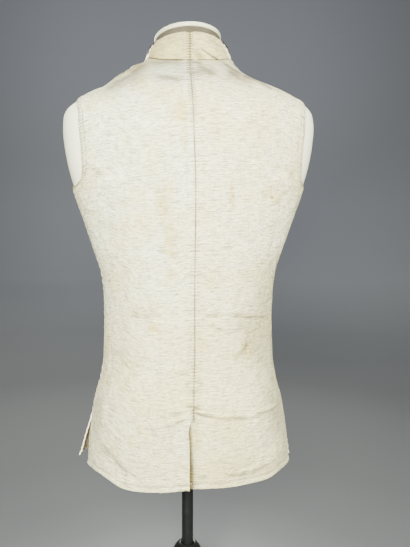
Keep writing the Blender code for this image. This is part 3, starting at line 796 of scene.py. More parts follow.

# %% [markdown]
# ## Creases, puckers and slack
#
# Linen that has been worn and laid away keeps sharp creases: here they gather at the waist, fan out from
# the top of the vent and run across the skirts. Each row of the table is one stretch of a crease, drawn
# from one place to another: a positive rise is a ridge, a negative one a trough, and reach is its half
# width. Sewing pulls cloth too, so a seam or hem has a groove where its stitches lie and short puckers
# across it. Last comes a little slack, which is slow noise.

# %% The creases of the back and of the fronts
CREASE_DEPTH, CREASE_SHARPNESS = 1.8, 1.2
Slack = namedtuple("Slack", "size height seed")
Pucker = namedtuple("Pucker", "reach pitch height seed")
BODY_SLACK = [Slack(70, 0.9, 3.3), Slack(24, 0.35, 7.1)]
COLLAR_SLACK = [Slack(26, 0.45, 9.0), Slack(9, 0.14, 1.0)]
Crease = namedtuple("Crease", "across_a height_a across_b height_b rise reach")
BACK_CREASES = table_of(
    Crease,
    # The wearer's left of the waist, and the short marks under it.
    (112, 556, 82, 551, -1, 3.4), (88, 551, 48, 548.5, -1.3, 3), (96, 557, 52, 554, 0.8, 3.2),
    (70, 530, 61, 528, -0.9, 3), (54, 533, 36, 533.5, 0.9, 3), (58, 538, 40, 539, -0.6, 3),
    (124, 484, 70, 473, 0.9, 4.5), (76, 475, 12, 463, 0.9, 4.5), (118, 478, 60, 465, -0.8, 4),
    (30, 462, 5, 461, -0.8, 3),
    # The wearer's right of the waist.
    (-12, 552.5, -58, 551, -1.4, 3.2), (-52, 551, -100, 553, -1.3, 3),
    (-18, 558, -92, 557.5, 0.8, 3.4), (-22, 528.5, -52, 524.5, -1.1, 3),
    (-48, 524.5, -83, 523.5, -1, 3), (-30, 533, -78, 530, 0.7, 3.2), (-92, 530, -95, 511, -1.1, 3),
    (-95, 512, -84, 497, -1.1, 3), (-86, 499, -66, 484, -0.9, 3), (-89, 508, -76, 492, 0.8, 3.2),
    (-106, 491.5, -94, 483, -0.9, 2.6), (-120, 566, -140, 575, -0.9, 4),
    (-112, 470, -136, 478, 0.7, 4),
    # The fan of creases at the top of the vent.
    (2, 411, 22, 407.5, 1, 3), (18, 408.5, 39, 403.5, 1.2, 3), (36, 404.5, 55, 397, 1, 3),
    (12, 396, 36, 387.5, 1.1, 3), (32, 388.5, 56, 381, 1.1, 3), (50, 383, 78, 377.5, 0.9, 3.2),
    (24, 400, 50, 391, -0.9, 3.2), (-1, 406, -28, 399.5, 1.2, 3), (-24, 400, -62, 393.5, 1.4, 3.2),
    (-58, 393.5, -104, 395.5, 1.3, 3.2), (-98, 395.5, -146, 405.5, 1.1, 3.2),
    (-8, 396, -60, 386, -1.1, 3.6), (-54, 386.5, -112, 389, -1, 3.6),
    # The skirts.
    (149, 401, 124, 386.5, 1, 2.8), (146, 394, 128, 383, -0.8, 2.8),
    (142, 373.5, 114, 351, 1.1, 2.8), (140, 366, 118, 348, -0.8, 2.8),
    (150, 338, 132, 317, -1.6, 5), (136, 322, 108, 297, -1.6, 5.5), (114, 300, 82, 289, -1.2, 5),
    (131, 333, 104, 306, 0.9, 5), (-50, 303, -88, 304.5, 1.1, 3.6), (-82, 304, -113, 313, 1.2, 3.6),
    (-108, 312, -128, 319, 0.9, 3.6), (-54, 311, -96, 313, -0.8, 4), (-118, 352, -92, 338, 0.7, 5),
    # The shoulders and the neck.
    (0, 950, 34, 946, -0.8, 4), (-6, 939, -44, 930, 0.8, 5), (-30, 962, -56, 941, -0.8, 4.5),
    (168, 800, 134, 770, 0.9, 5), (-170, 798, -138, 764, 0.9, 5), (160, 700, 122, 676, -0.7, 5.5),
    (-158, 690, -126, 660, -0.7, 5.5),
)
# Where painted shade and dirt lie along a fold: the rise is how dark the stroke is.
BACK_SHADE_AND_DIRT = table_of(
    Crease,
    # The neck and the shoulders.
    (-50, 974, -85, 948, 0.42, 5), (-57, 954, -80, 942, 0.26, 8), (-82, 949, -116, 934, 0.44, 6),
    (-110, 936, -135, 920, 0.5, 6), (74, 982, 104, 952, 0.34, 12), (96, 958, 150, 910, 0.28, 9),
    (66, 936, 12, 926, 0.45, 7), (74, 975, 9, 962, 0.3, 9), (-4, 960, -38, 936, 0.26, 9),
    (-16, 963, 4, 964, 0.32, 4), (10, 940, -42, 942, 0.22, 12), (-46, 942, -104, 929, 0.3, 17),
    (70, 944, 160, 904, 0.26, 18),
    # The centre seam under strain, and the top of the vent.
    (0.6, 505, 1.4, 440, 0.22, 3), (1.4, 450, 2.8, 408, 0.34, 3), (2.8, 415, 0.6, 384, 0.85, 3),
    (1.5, 410.5, -9, 409, 0.75, 2.2), (-1, 402.5, -14, 398.2, 0.85, 2.6),
    (-12, 398.6, -30, 395.8, 0.6, 2.8), (-26, 396, -89, 390.5, 0.36, 3.4),
    (44, 401, 17, 406, 0.5, 2.8), (33, 388, 16, 393.3, 0.62, 3), (17, 412.4, 3, 414, 0.5, 2.4),
    (24, 461, 5, 460, 0.62, 2.4),
    # The waist.
    (105, 550.6, 83, 550, 0.42, 2.6), (86, 550, 68, 549, 0.42, 2.6),
    (-12, 552.4, -48, 551, 0.55, 2.4), (-45, 551, -136, 547, 0.4, 2.4),
    (-20, 539, -50, 528, 0.3, 4), (-89, 512, -82, 495, 0.42, 5), (-83, 496, -62, 481, 0.36, 5),
    (-34, 538, -118, 530, 0.22, 24), (-62, 500, -122, 492, 0.14, 24),
    (-120, 520, -137, 504, 0.08, 6), (138, 490, 98, 487.6, 0.25, 5), (100, 488, 44, 477, 0.25, 5),
    # The skirts.
    (-131, 455, -149, 424, 0.1, 7), (-47, 397, -86, 394, 0.25, 3), (-84, 394, -138, 400.5, 0.35, 3),
    (153, 337, 133, 318, 0.4, 9), (135, 320, 100, 295, 0.4, 9), (-48, 302.5, -90, 303, 0.55, 4.5),
    (-86, 303, -122, 312, 0.45, 5), (-4, 299.6, -23, 300.4, 0.5, 3.5),
    (-22, 306, -112, 318, 0.16, 22), (-122, 440, -150, 345, 0.2, 24), (152, 425, 160, 330, 0.3, 11),
)
# A painted shadow beside the left vent edge on the right piece: a dark core and a broader dim.
VENT_SHADE, VENT_SHADE_REACH, VENT_DIM, VENT_DIM_REACH = 1.5, 4.6, 0.50, 13.0
VENT_FOOT_FADE, VENT_DIM_FADE = (290, 345), (300, 400)
# Painted shade and dirt towards the neck; painted shade towards the sides and hips, strongest on the
# wearer's right.
NECK_SHADE_AND_DIRT, NECK_SHADE_FOOT = 0.44, 880
SIDE_SHADE, LEFT_SIDE_SHADE_SHARE, SIDE_SHADE_INSET, SIDE_SHADE_REACH = 0.42, 0.45, 62, 46
SIDE_SHADE_FADE, HIP_SHADE_FADE = (560, 700), (430, 500)
FRONT_CREASES = table_of(
    Crease,
    (120, 552, 84, 549, -1.2, 3.2), (88, 549, 58, 552, -1, 3.2), (116, 558, 70, 557, 0.8, 3.2),
    (-124, 550, -92, 554, -1.2, 3.2), (-96, 554, -54, 550, -1.1, 3.2),
    (-108, 545, -66, 543, 0.8, 3.4), (132, 508, 96, 492, 0.9, 3.6),
    (-130, 500, -100, 487, 0.8, 3.6), (104, 430, 76, 392, 1, 5), (-110, 424, -84, 380, 1, 5),
    (140, 396, 116, 370, -0.9, 4), (-142, 390, -120, 360, -0.8, 4), (150, 790, 112, 752, 0.9, 5),
    (-152, 786, -118, 744, 0.9, 5), (158, 700, 120, 682, -0.7, 5), (-154, 712, -118, 690, -0.7, 5),
    (72, 900, 88, 862, -0.7, 5), (-70, 898, -90, 858, -0.7, 5),
)


# The strokes are painted shade and dirt.
print("creases:", len(BACK_CREASES) + len(FRONT_CREASES), "dirty strokes:", len(BACK_SHADE_AND_DIRT))


# %% Turn strokes into relief, and add puckers and slack
def streaks(creases, x, z):
    """The sum of soft strokes at places across and up the garment."""
    total = 0 * x
    for crease in creases:
        run_x, run_z = crease.across_b - crease.across_a, crease.height_b - crease.height_a
        length = math.hypot(run_x, run_z)
        along = ((x - crease.across_a) * run_x + (z - crease.height_a) * run_z) / length
        near = np.clip(along, 0, length)
        off = np.hypot(
            x - crease.across_a - near * run_x / length, z - crease.height_a - near * run_z / length,
        )
        taper = ramp(along, -2, 0.3 * length) * ramp(length - along, -2, 0.3 * length)
        ridge = np.exp(-((CREASE_SHARPNESS * off / crease.reach) ** 2))
        total += crease.rise * taper * ridge
    return total


def crease_relief(creases, x, z):
    """Ridges and troughs in millimetres."""
    return CREASE_DEPTH * streaks(creases, x, z)


def slack(points, hollow):
    """Slow noise, in millimetres, that keeps a large panel from looking ironed."""
    where = (points / hollow.size + hollow.seed).reshape(-1, 3)
    rise = np.array([noise.noise(Vector(spot)) for spot in where])
    return hollow.height * rise.reshape(points.shape[:-1])


def groove(distance, place, width, depth):
    """A shallow line a certain distance in from an edge."""
    return -depth * np.exp(-(((distance - place) / width) ** 2))


def puckers(distance, along, row):
    """Short ripples across a sewn edge, uneven in length and spacing."""
    pitch, seed = row.pitch, row.seed
    wander = 0.35 * np.sin(along / (2.7 * pitch) + seed) + 0.2 * np.sin(along / (1.13 * pitch) + 2 * seed)
    ripple = np.sin(2 * np.pi * along / pitch + 4 * wander)
    return row.height * ripple * (0.6 + wander) * np.exp(-((distance / row.reach) ** 2))


def moved(sheet, relief, grime=0.0):
    """The same sheet with its points moved out by a relief in millimetres, and its painted shade and
    dirt.
    """
    points = sheet.points + sheet.normals * relief[..., None]
    return sheet._replace(points=points, relief=relief, grime=0 * relief + np.clip(grime, 0, 1))


print("a groove 1 mm deep, on its line:", groove(np.zeros(1), 0, 1, 1.0))

# %% [markdown]
# ## The linen
#
# The back is a coarse, slubby linen, off-white and yellowed by age. Close to, it has threads less than a
# millimetre apart; from a step away only the thicker weft threads show, as short level streaks. Waves
# along the flat pattern make the threads, noise stretched along the weft makes the slubs, and slow noise
# makes the yellowing. The stains and rust spots have places and sizes of their own.

# %% The linen's colours and its stains
THREAD_PITCH = 0.00085
SLUB = (48.0, 560.0, 1.0)
FINE_SLUB = (120.0, 860.0, 1.0)
WHITE_LINEN, CREAM_LINEN = (0.835, 0.865, 0.670), (0.800, 0.745, 0.430)
WARM_LINEN = (0.800, 0.715, 0.440)
SLUB_SHADE, STAIN_BROWN, RUST = (0.330, 0.290, 0.165), (0.610, 0.470, 0.085), (0.260, 0.130, 0.035)
SEAM_BROWN, CREASE_SHADE, DARKER_BELOW = (0.120, 0.080, 0.040), (0.070, 0.050, 0.010), (0.620, 0.550, 0.230)
WARM_SHARE, DARKER_BELOW_SHARE, DARKER_BELOW_HEIGHTS = 0.30, 0.34, (0.66, 0.48)
WAIST_STRAIN, SHOULDER_HEIGHTS = 0.50, (0.912, 0.932)
LADDER_PITCH, BAND_PITCH, BAND_REACH = 0.0048, 0.0046, 0.0100
HEM_WIDTH, VENT_HEM_WIDTH, ARMHOLE_BAND, FELL_WIDTH, FRONT_EDGE_WIDTH = 8.0, 6.0, 8.5, 8.0, 5.0

Stain = namedtuple("Stain", "across height width tall strength colour")
STAINS = table_of(
    Stain,
    (48, 735, 20, 36, 0.58, STAIN_BROWN), (39, 670, 13, 38, 0.71, STAIN_BROWN),
    (31, 655, 8, 20, 0.22, RUST), (22, 872, 13, 26, 0.61, STAIN_BROWN),
    (17, 828, 9, 24, 0.48, STAIN_BROWN), (-58, 746, 6, 34, 0.58, STAIN_BROWN),
    (-132, 750, 26, 20, 0.34, STAIN_BROWN), (-21, 610, 13, 17, 0.37, STAIN_BROWN),
    (40, 617, 12, 15, 0.44, STAIN_BROWN), (64, 533, 11, 10, 0.68, STAIN_BROWN),
    (-18, 503, 10, 11, 0.48, STAIN_BROWN), (-88, 496, 12, 13, 0.44, STAIN_BROWN),
    (98, 353, 13, 15, 0.37, STAIN_BROWN), (1, 362, 13, 34, 0.44, STAIN_BROWN),
    (60, 560, 44, 16, 0.27, STAIN_BROWN), (-123, 758, 3.4, 3, 0.68, RUST),
    (-126, 742, 3.6, 3.4, 0.75, RUST), (-151, 729, 3, 2.6, 0.68, RUST),
    (-161, 737, 2.6, 2.6, 0.6, RUST), (-60, 741, 2.6, 3.4, 0.6, RUST),
    (-60, 727, 2.2, 3.6, 0.52, RUST), (-77, 773, 2.4, 2.4, 0.45, RUST),
    (-132, 750, 2.2, 2, 0.45, RUST),
)


print("stains:", len(STAINS))


# %% Threads, stains, ticks and lines
def weave_height(paint, cloth, pitch):
    """Threads over and under each other: two waves, the weft's a little deeper."""
    u, v, _ = paint.parts(cloth)
    turn = 2 * math.pi / pitch
    return (u * turn).sine() * 0.4 + (v * turn).sine() * 0.6


def stain_share(paint, place, wobble, stain):
    """How strongly one stain covers a point: an uneven blot with a soft rim."""
    x, _, z = paint.parts(place)
    across = (x - stain.across * MM) * (1 / (stain.width * MM))
    tall = (z - stain.height * MM) * (1 / (stain.tall * MM))
    spread = across * across + tall * tall + (wobble - 0.5) * 2.2
    return paint.step(spread, 1.1, -0.2) * stain.strength


def ticks(paint, distance, along, pitch, reach):
    """Short dents across a seam or hem, uneven in length: 1 in a dent, 0 between and beyond them."""
    wander = paint.cloud(paint.place(), 45.0, 2.0)
    wave = (along * (2 * math.pi / pitch) + wander * 7.0).sine()
    uneven = distance + (wander - 0.5) * reach
    return paint.step(wave, 0.0, 0.7) * paint.step(uneven, reach, 0.35 * reach)


def line(paint, distance, place, width):
    """1 on a line a certain distance from an edge, 0 beyond its width."""
    return paint.step(abs(distance - place), width, 0.2 * width)


print("threads every", THREAD_PITCH / MM, "mm")


# %% Paint the linen
def aged_linen(paint, cloth, place, white, cream, stains):
    """The cloth's colour with its yellowing and stains, its slubs drawn in, and the slubs' height."""
    slubs = paint.cloud(paint.stretch(cloth, SLUB), 1.0, 3.0, 0.65)
    fine = paint.cloud(paint.stretch(cloth, FINE_SLUB), 1.0, 2.0)
    leftward, _, height = paint.parts(place)
    colour = paint.mix(paint.step(paint.cloud(place, 11.0, 4.0), 0.40, 0.68), white, cream)
    colour = paint.mix(paint.step(paint.cloud(place, 42.0, 3.0), 0.50, 0.72) * 0.5, colour, cream)
    colour = paint.mix(paint.step(leftward, 0.002, -0.002) * WARM_SHARE, colour, WARM_LINEN)
    # The cloth is painted darker towards the hem.
    colour = paint.mix(paint.step(height, *DARKER_BELOW_HEIGHTS) * DARKER_BELOW_SHARE, colour, DARKER_BELOW)
    wobble = paint.cloud(place, 95.0, 4.0, 0.6)
    for stain in stains:
        colour = paint.mix(stain_share(paint, place, wobble, stain), colour, stain.colour)
    # The slubs' streaks are darker: their own tone together with painted shade of the thicker threads.
    colour = paint.mix(paint.step(slubs, 0.47, 0.66) * 0.85, colour, SLUB_SHADE)
    colour = paint.mix(paint.step(fine, 0.50, 0.72) * 0.80, colour, SLUB_SHADE)
    return colour, slubs, slubs * 0.7 + fine * 0.3


def sewn_marks(paint, place, across, up, side, foot):
    """The dents of the strained stitches, and the lines sewn beside the edges and the hem."""
    _, _, height = paint.parts(place)
    waist = paint.step(abs(height - WAIST_STRAIN), 0.15, 0.07)
    ladder = ticks(paint, across * -1.0, up, LADDER_PITCH, waist * 0.009 + 0.0080)
    bands = ticks(paint, side, up, BAND_PITCH, BAND_REACH)
    patchy = paint.step(paint.cloud(place, 9.0, 1.0), 0.34, 0.62)
    strained = paint.step(height, 0.84, 0.92) * 0.65 + waist * 0.25
    shoulder = 1 - paint.step(height, *SHOULDER_HEIGHTS) * 0.8
    dents = ladder * (strained + patchy * 0.30) + bands * (patchy * 0.40 + 0.65) * shoulder
    lines = line(paint, side, ARMHOLE_BAND * MM, 0.0013) * 0.6
    return dents, lines + line(paint, up - foot, HEM_WIDTH * MM, 0.0014) * 0.8


def paint_linen(name, white, cream, stains=(), foot=0.0):
    paint = Paint(name, roughness=0.9, Sheen_Weight=0.1, Specular_IOR_Level=0.2)
    cloth, place = paint.cloth(), paint.place()
    colour, slubs, thickness = aged_linen(paint, cloth, place, white, cream, stains)
    across, up, _ = paint.parts(cloth)
    side, _, _ = paint.parts(paint.cloth("Sewn"))
    dents, lines = sewn_marks(paint, place, across, up, side, foot)
    # Painted shade: the shade-and-dirt strokes, the dents of the stitches and the stitched lines darken
    # the cloth towards CREASE_SHADE.
    shade = paint.share("Grime") * (slubs * 0.8 + 0.6) + dents * 0.75 + lines * 0.6
    colour = paint.mix(paint.step(shade, -0.15, 1.15), colour, CREASE_SHADE)
    _, _, height = paint.parts(place)
    above_vent = paint.step(height, (VENT_TOP - 4) * MM, (VENT_TOP + 4) * MM)
    sewn = above_vent * (paint.cloud(place, 14.0, 3.0) * 1.3 + 0.05)
    seam = paint.step(across, -0.0017, -0.0004) * sewn + paint.step(side, 0.0014, 0.0004) * 0.5
    paint.set("Base Color", paint.mix(seam, colour, SEAM_BROWN))
    sunk = paint.bump((dents + lines) * -1.0, 0.0012)
    threads = paint.bump(weave_height(paint, cloth, THREAD_PITCH), 0.00016, sunk)
    thick = paint.bump(thickness, 0.0036, threads)
    paint.set("Normal", paint.bump(paint.cloud(place, 55.0, 5.0, 0.62), 0.0075, thick))
    return paint.material


LINEN = paint_linen("back_linen", WHITE_LINEN, CREAM_LINEN, STAINS, HEM_ROW_HEIGHT * MM)
COLLAR_STAINS = table_of(
    Stain,
    (34, 1014, 13, 5, 0.75, (0.5, 0.33, 0.11)), (23, 1001, 7, 12, 0.55, (0.54, 0.5, 0.14)),
    (48, 1000, 9, 6, 0.5, (0.52, 0.42, 0.13)), (30, 981, 14, 5, 0.55, (0.5, 0.46, 0.14)),
    (-12, 976, 12, 7, 0.75, (0.46, 0.42, 0.13)), (-36, 1007, 12, 7, 0.45, (0.54, 0.5, 0.17)),
    (-46, 994, 12, 6, 0.5, (0.52, 0.45, 0.15)), (6, 1012, 6, 6, 0.5, (0.52, 0.43, 0.15)),
)
COLLAR_YELLOW, COLLAR_BROWN, COLLAR_TUCK = (0.640, 0.565, 0.285), (0.560, 0.460, 0.190), 7
LINING_BROWN, LINING_DARK = (0.40, 0.33, 0.23), (0.32, 0.25, 0.16)
COLLAR_LINEN = paint_linen(
    "collar_linen", COLLAR_YELLOW, COLLAR_BROWN, COLLAR_STAINS, (NAPE - COLLAR_TUCK) * MM,
)
LINING_LINEN = paint_linen("lining_linen", LINING_BROWN, LINING_DARK)
print("linens:", [cloth.name for cloth in (LINEN, COLLAR_LINEN, LINING_LINEN)])

# %% [markdown]
# ## The silk
#
# The fronts are ivory silk, smoother and more lustrous than the linen. Its threads are too fine to draw
# singly, so the finish is a fine level rib, a satin gloss that varies a little, and a faint yellowing.

# %% Paint the silk and the threads
IVORY, AGED_IVORY = (0.79, 0.72, 0.57), (0.70, 0.60, 0.42)
RIB_PITCH, TWIST_PITCH = 0.0011, 0.00062


def paint_silk():
    paint = Paint("front_silk", roughness=0.42, Sheen_Weight=0.2, Specular_IOR_Level=0.45)
    cloth, place = paint.cloth(), paint.place()
    bars = paint.cloud(paint.stretch(cloth, (9.0, 260.0, 1.0)), 1.0, 3.0)
    worn = paint.cloud(place, 16.0, 4.0)
    colour = paint.mix(paint.step(worn, 0.42, 0.72), IVORY, AGED_IVORY)
    colour = paint.mix(paint.step(bars, 0.5, 0.75) * 0.25, colour, AGED_IVORY)
    paint.set("Base Color", colour)
    paint.set("Roughness", worn * 0.22 + 0.30)
    rib = paint.bump(weave_height(paint, cloth, RIB_PITCH), 0.00007)
    paint.set("Normal", paint.bump(paint.cloud(place, 38.0, 4.0), 0.0012, rib))
    return paint.material


def paint_thread(name, colour, shade, roughness, sheen):
    """A twisted thread, laid side by side across a stitch: a painted highlight on its crowns and painted
    shade between.
    """
    paint = Paint(name, roughness=roughness, Sheen_Weight=sheen, Specular_IOR_Level=2 * sheen)
    u, _, _ = paint.parts(paint.cloth())
    crowns = (u * (2 * math.pi / TWIST_PITCH)).sine() * 0.5 + 0.5
    uneven = paint.cloud(paint.place(), 420.0, 2.0)
    paint.set("Base Color", paint.mix(crowns * 0.6 + uneven * 0.4, shade, colour))
    paint.set("Normal", paint.bump(crowns, 0.0002))
    return paint.material


SILK = paint_silk()
Thread = namedtuple("Thread", "name colour shade roughness sheen")
THREADS = {
    row.name.split("_")[0]: paint_thread(row.name + "_thread", *row[1:])
    for row in table_of(
        Thread,
        ("white_silk", (0.86, 0.84, 0.76), (0.62, 0.58, 0.48), 0.4, 0.25),
        ("olive_silk", (0.105, 0.112, 0.036), (0.042, 0.046, 0.015), 0.4, 0.25),
        ("brown_silk", (0.042, 0.024, 0.013), (0.014, 0.008, 0.005), 0.6, 0.08),
        ("black_silk", (0.008, 0.006, 0.005), (0.003, 0.002, 0.002), 0.7, 0.04),
        ("rose_silk", (0.400, 0.120, 0.095), (0.190, 0.050, 0.040), 0.4, 0.25),
        ("linen", (0.70, 0.64, 0.50), (0.48, 0.42, 0.30), 0.8, 0.25),
    )
}
print("threads:", ", ".join(THREADS))

# %% [markdown]
# ## The four body pieces
#
# Two linen backs meet at the centre back seam and part below it for the vent, where the left one lies
# over the right. Two silk fronts are lined with brown linen. Each piece gets its creases, a turned
# and stitched hem along every free edge, and short puckers along its seams. The centre back seam has its
# turnings felled to the wearer's left, which shows as a raised band with a ladder of small ticks.

# %% Hems, bands and seams
BACK_COLUMNS, FRONT_COLUMNS = 84, 96
HEM_RAISE, VENT_FLARE, VENT_FLARE_REACH = 0.55, 2.2, 14
STITCH_GROOVE_WIDTH, STITCH_GROOVE_DEPTH = 1.2, 1.0
HEM_PUCKER = Pucker(1.3, 11.0, 0.5, 0.0)  # its reach is a share of the hem's width
SEAM_PUCKER, TOP_PUCKER, FELL_PUCKER = table_of(
    Pucker, (9.0, 12.0, 0.5, 5.0), (8.0, 11.0, 0.45, 2.0), (10.0, 10.5, 0.7, 1.3),
)
WAIST, WAIST_NEAR, WAIST_FAR = 540, 60, 200
FELL_FLAT, FELL_FULL, FELL_LOW, FELL_GAIN, RIGHT_FELL = 600, 880, 0.55, 0.45, 0.55


def turned_edge(distance, width, along, masked, seed):
    """The relief of a hem: a raised band, a stitched groove at its inner side, and puckers."""
    band = HEM_RAISE * (1 - ramp(distance, width - 0.8, width + 1.2))
    band = band + groove(distance, width, STITCH_GROOVE_WIDTH, STITCH_GROOVE_DEPTH)
    row = HEM_PUCKER._replace(reach=HEM_PUCKER.reach * width, seed=seed)
    return masked * (band + puckers(distance, along, row))


def edge_relief(sheet, side, behind):
    """Hems, bands and seams of one body piece."""
    z = sheet.points[..., 2]
    up = sheet.from_hem
    skirt = 1 - ramp(sheet.rows, ROWS_TO_SLIT - 0.4, ROWS_TO_SLIT)
    armhole = ramp(sheet.rows, UNDERARM_ROW, UNDERARM_ROW + 1.5) * (sheet.rows <= TIP_ROW + 0.5)
    side_seam = (1 - skirt) * (sheet.rows < UNDERARM_ROW + 1)
    shoulder = 1.0 * (sheet.rows > TIP_ROW)
    total = turned_edge(sheet.from_hem, HEM_WIDTH, sheet.from_centre, 1.0, seed=0.7)
    total += turned_edge(sheet.from_edge, VENT_HEM_WIDTH, up, skirt, seed=1.9)
    total += turned_edge(sheet.from_edge, ARMHOLE_BAND, up, armhole, seed=3.0 + side)
    total += (side_seam + shoulder) * puckers(sheet.from_edge, up, SEAM_PUCKER)
    total += puckers(sheet.from_top, sheet.from_edge, TOP_PUCKER)
    if not behind:
        return total + turned_edge(sheet.from_centre, FRONT_EDGE_WIDTH, up, 1.0, seed=4.0)
    open_vent = 1 - ramp(z, VENT_TOP - 5, VENT_TOP)
    total += turned_edge(sheet.from_centre, VENT_HEM_WIDTH, up, open_vent, seed=2.4)
    ladder = 1.0 if side > 0 else RIGHT_FELL
    fell = (1 - open_vent) * ladder * (FELL_LOW + FELL_GAIN * ramp(z, FELL_FLAT, FELL_FULL))
    total += fell * HEM_RAISE * (1 - ramp(sheet.from_centre, FELL_WIDTH - 1, FELL_WIDTH + 1))
    if side > 0:
        total += open_vent * VENT_FLARE * np.exp(-((sheet.from_centre / VENT_FLARE_REACH) ** 2))
    reach = FELL_PUCKER.reach * (2 - ramp(np.abs(z - WAIST), WAIST_NEAR, WAIST_FAR))
    return total + fell * puckers(sheet.from_centre, up, FELL_PUCKER._replace(reach=reach))


print("hems of", HEM_WIDTH, "mm")


# %% Painted shade and dirt in the folds
def back_shade_and_dirt(sheet, side):
    """Painted shade and dirt in the folds and towards the neck, painted shade towards the sides, and a
    painted shadow beside the vent's edge.
    """
    x, z = sheet.points[..., 0], sheet.points[..., 2]
    folded = streaks(BACK_SHADE_AND_DIRT, x, z)
    # Painted shade and dirt towards the neck.
    neck = NECK_SHADE_AND_DIRT * ramp(z, NECK_SHADE_FOOT, NAPE)
    # Painted shade towards the sides.
    low = (1 - ramp(z, *SIDE_SHADE_FADE)) * (0.75 + 0.25 * ramp(z, *HIP_SHADE_FADE))
    off = (sheet.from_edge - SIDE_SHADE_INSET) / SIDE_SHADE_REACH
    sides = SIDE_SHADE * (1.0 if side < 0 else LEFT_SIDE_SHADE_SHARE) * low * np.exp(-(off ** 2))
    # The painted shadow beside the vent's left edge, on the right piece only.
    below = 1 - ramp(z, VENT_TOP - VENT_EDGE_FALL, VENT_TOP)
    edge = smooth_read(CENTRE_BACK, "across", z) + VENT_EDGE_SHIFT * below
    past = np.maximum(0, edge - x)
    deep = 1 - ramp(z, VENT_TOP - VENT_EDGE_FALL, VENT_TOP - 8)
    deep = deep * (0.75 + 0.4 * (1 - ramp(z, *VENT_FOOT_FADE)))
    vent = VENT_SHADE * np.exp(-((past / VENT_SHADE_REACH) ** 2))
    vent += VENT_DIM * np.exp(-((past / VENT_DIM_REACH) ** 2)) * (1 - ramp(z, *VENT_DIM_FADE))
    return folded + neck + sides + (side < 0) * deep * vent


print("darkest at the vent:", VENT_SHADE)


# %% Hang the backs and the fronts
def dressed_sheet(side, behind):
    """A body piece's sheet with its creases, hems and slack."""
    sheet = body_sheet(side, behind, BACK_COLUMNS if behind else FRONT_COLUMNS)
    x, z = sheet.points[..., 0], sheet.points[..., 2]
    relief = crease_relief(BACK_CREASES if behind else FRONT_CREASES, x, z)
    for hollow in BODY_SLACK:
        relief += slack(sheet.points, hollow)
    grime = back_shade_and_dirt(sheet, side) if behind else 0.0
    return moved(sheet, relief + edge_relief(sheet, side, behind), grime)


SHEETS, SHELLS = {}, {}


def hang(name, behind, sheet, coats, base_height):
    """Keeps a piece's sheet and makes its shell."""
    SHEETS[name] = sheet
    SHELLS[name] = shell("cloth_" + name, sheet, wall_of(behind), coats, base_height)


for label, side in SIDES.items():
    hang("back_" + label, True, dressed_sheet(side, True), [LINEN, LINEN], HEM_ROW_HEIGHT)
    hang("front_" + label, False, dressed_sheet(side, False), [SILK, LINING_LINEN], HEM_ROW_HEIGHT)
for name, sheet in SHEETS.items():
    flat = sheet.from_edge[:, -1].max(), sheet.from_hem[-1].max()
    print(name, "flat", [round(float(size)) for size in flat], "mm", sheet.points.shape)

# %% [markdown]
# ## The stand collar
#
# The collar stands on the neckline and leans in to the neck. It shares the neckline's columns, so its
# foot follows the seam. Behind it is linen, more yellowed than the back because it lay against the
# neck. In front it is silk, which laps a finger's width over the linen at their seam. A long crease runs
# from the middle of the neck down over the right shoulder.

# %% Stand the collar on the neckline
COLLAR_RADIUS, COLLAR_FRONT_SHARE, COLLAR_FRONT_POWER = 62, 0.56, 1.4
COLLAR_TURN, COLLAR_BULGE = 0.4, 2.5
COLLAR_ROWS, COLLAR_BACK_COLUMNS, COLLAR_FRONT_COLUMNS = 26, 60, 72
THROAT = 12 / 13
COLLAR_LAPS, LAP_STAND, LAP_WALL = {"left": 9.0, "right": 17.0}, 0.75, 0.5
FOOT_SHADE_AND_DIRT, BRIM_SHADE_AND_DIRT = 0.70, 0.30
FOOT_PUCKER, BRIM_PUCKER, MIDDLE_PUCKER = table_of(
    Pucker, (4.5, 5.5, 0.25, 0.0), (4.0, 5.0, 0.18, 4.0), (6.5, 4.6, 0.38, 1.0),
)
COLLAR_CREASES = table_of(
    Crease,
    (-4, 996, -22, 991, -1.1, 2.8), (-18, 992, -42, 981, -1.4, 3), (-38, 983, -60, 974, -1.3, 3),
    (-20, 998, -50, 985, 0.9, 3.4), (8, 1004, 34, 1006, -0.6, 2.6), (12, 990, 40, 987, -0.6, 3),
    (22, 980, 46, 984, 0.6, 3),
)
# Strokes of painted shade and dirt along the collar's folds.
COLLAR_SHADE_AND_DIRT = table_of(
    Crease,
    (-13, 991, -34, 978, 0.8, 2.8), (-30, 980, -52, 974, 1, 3), (-48, 975, -70, 971, 1, 3.2),
    (-1, 986, -18, 972, 0.42, 6), (22, 974, 30, 980, 0.3, 5), (-30, 1012, -52, 1000, 0.25, 6),
    (24, 1008, 40, 1003, 0.22, 5),
)


def stand_collar(side, behind, across, up, out):
    """Points of the collar, which leans in from the neckline's columns to a level ring."""
    angle, foot_height = place_on_torso(side, behind, across, np.full_like(across, ROWS))
    foot = cloth_at(side, behind, angle, foot_height, 0 * across)
    x, y = np.cos(np.radians(angle)), np.sin(np.radians(angle))
    ring = np.stack([x, y, 0 * x], axis=-1) * (COLLAR_RADIUS - SILK_WALL)
    ring[..., 2] = COLLAR_TOP
    share = 1 - (1 - COLLAR_FRONT_SHARE) * np.maximum(0, -y) ** COLLAR_FRONT_POWER
    rise = (ring - foot) * share[..., None]
    lift = unit(rise) * SEAM_GAP
    upright = unit(np.cross(np.stack([-y, x, 0 * x], axis=-1), rise))
    turn = ramp(up, 0, COLLAR_TURN)[..., None]
    outward = unit(torso_normal(angle, foot_height) * (1 - turn) + upright * turn)
    bulge = COLLAR_BULGE * np.sin(np.pi * up)
    return foot + lift + (rise - lift) * up[..., None] + outward * (out + bulge)[..., None]


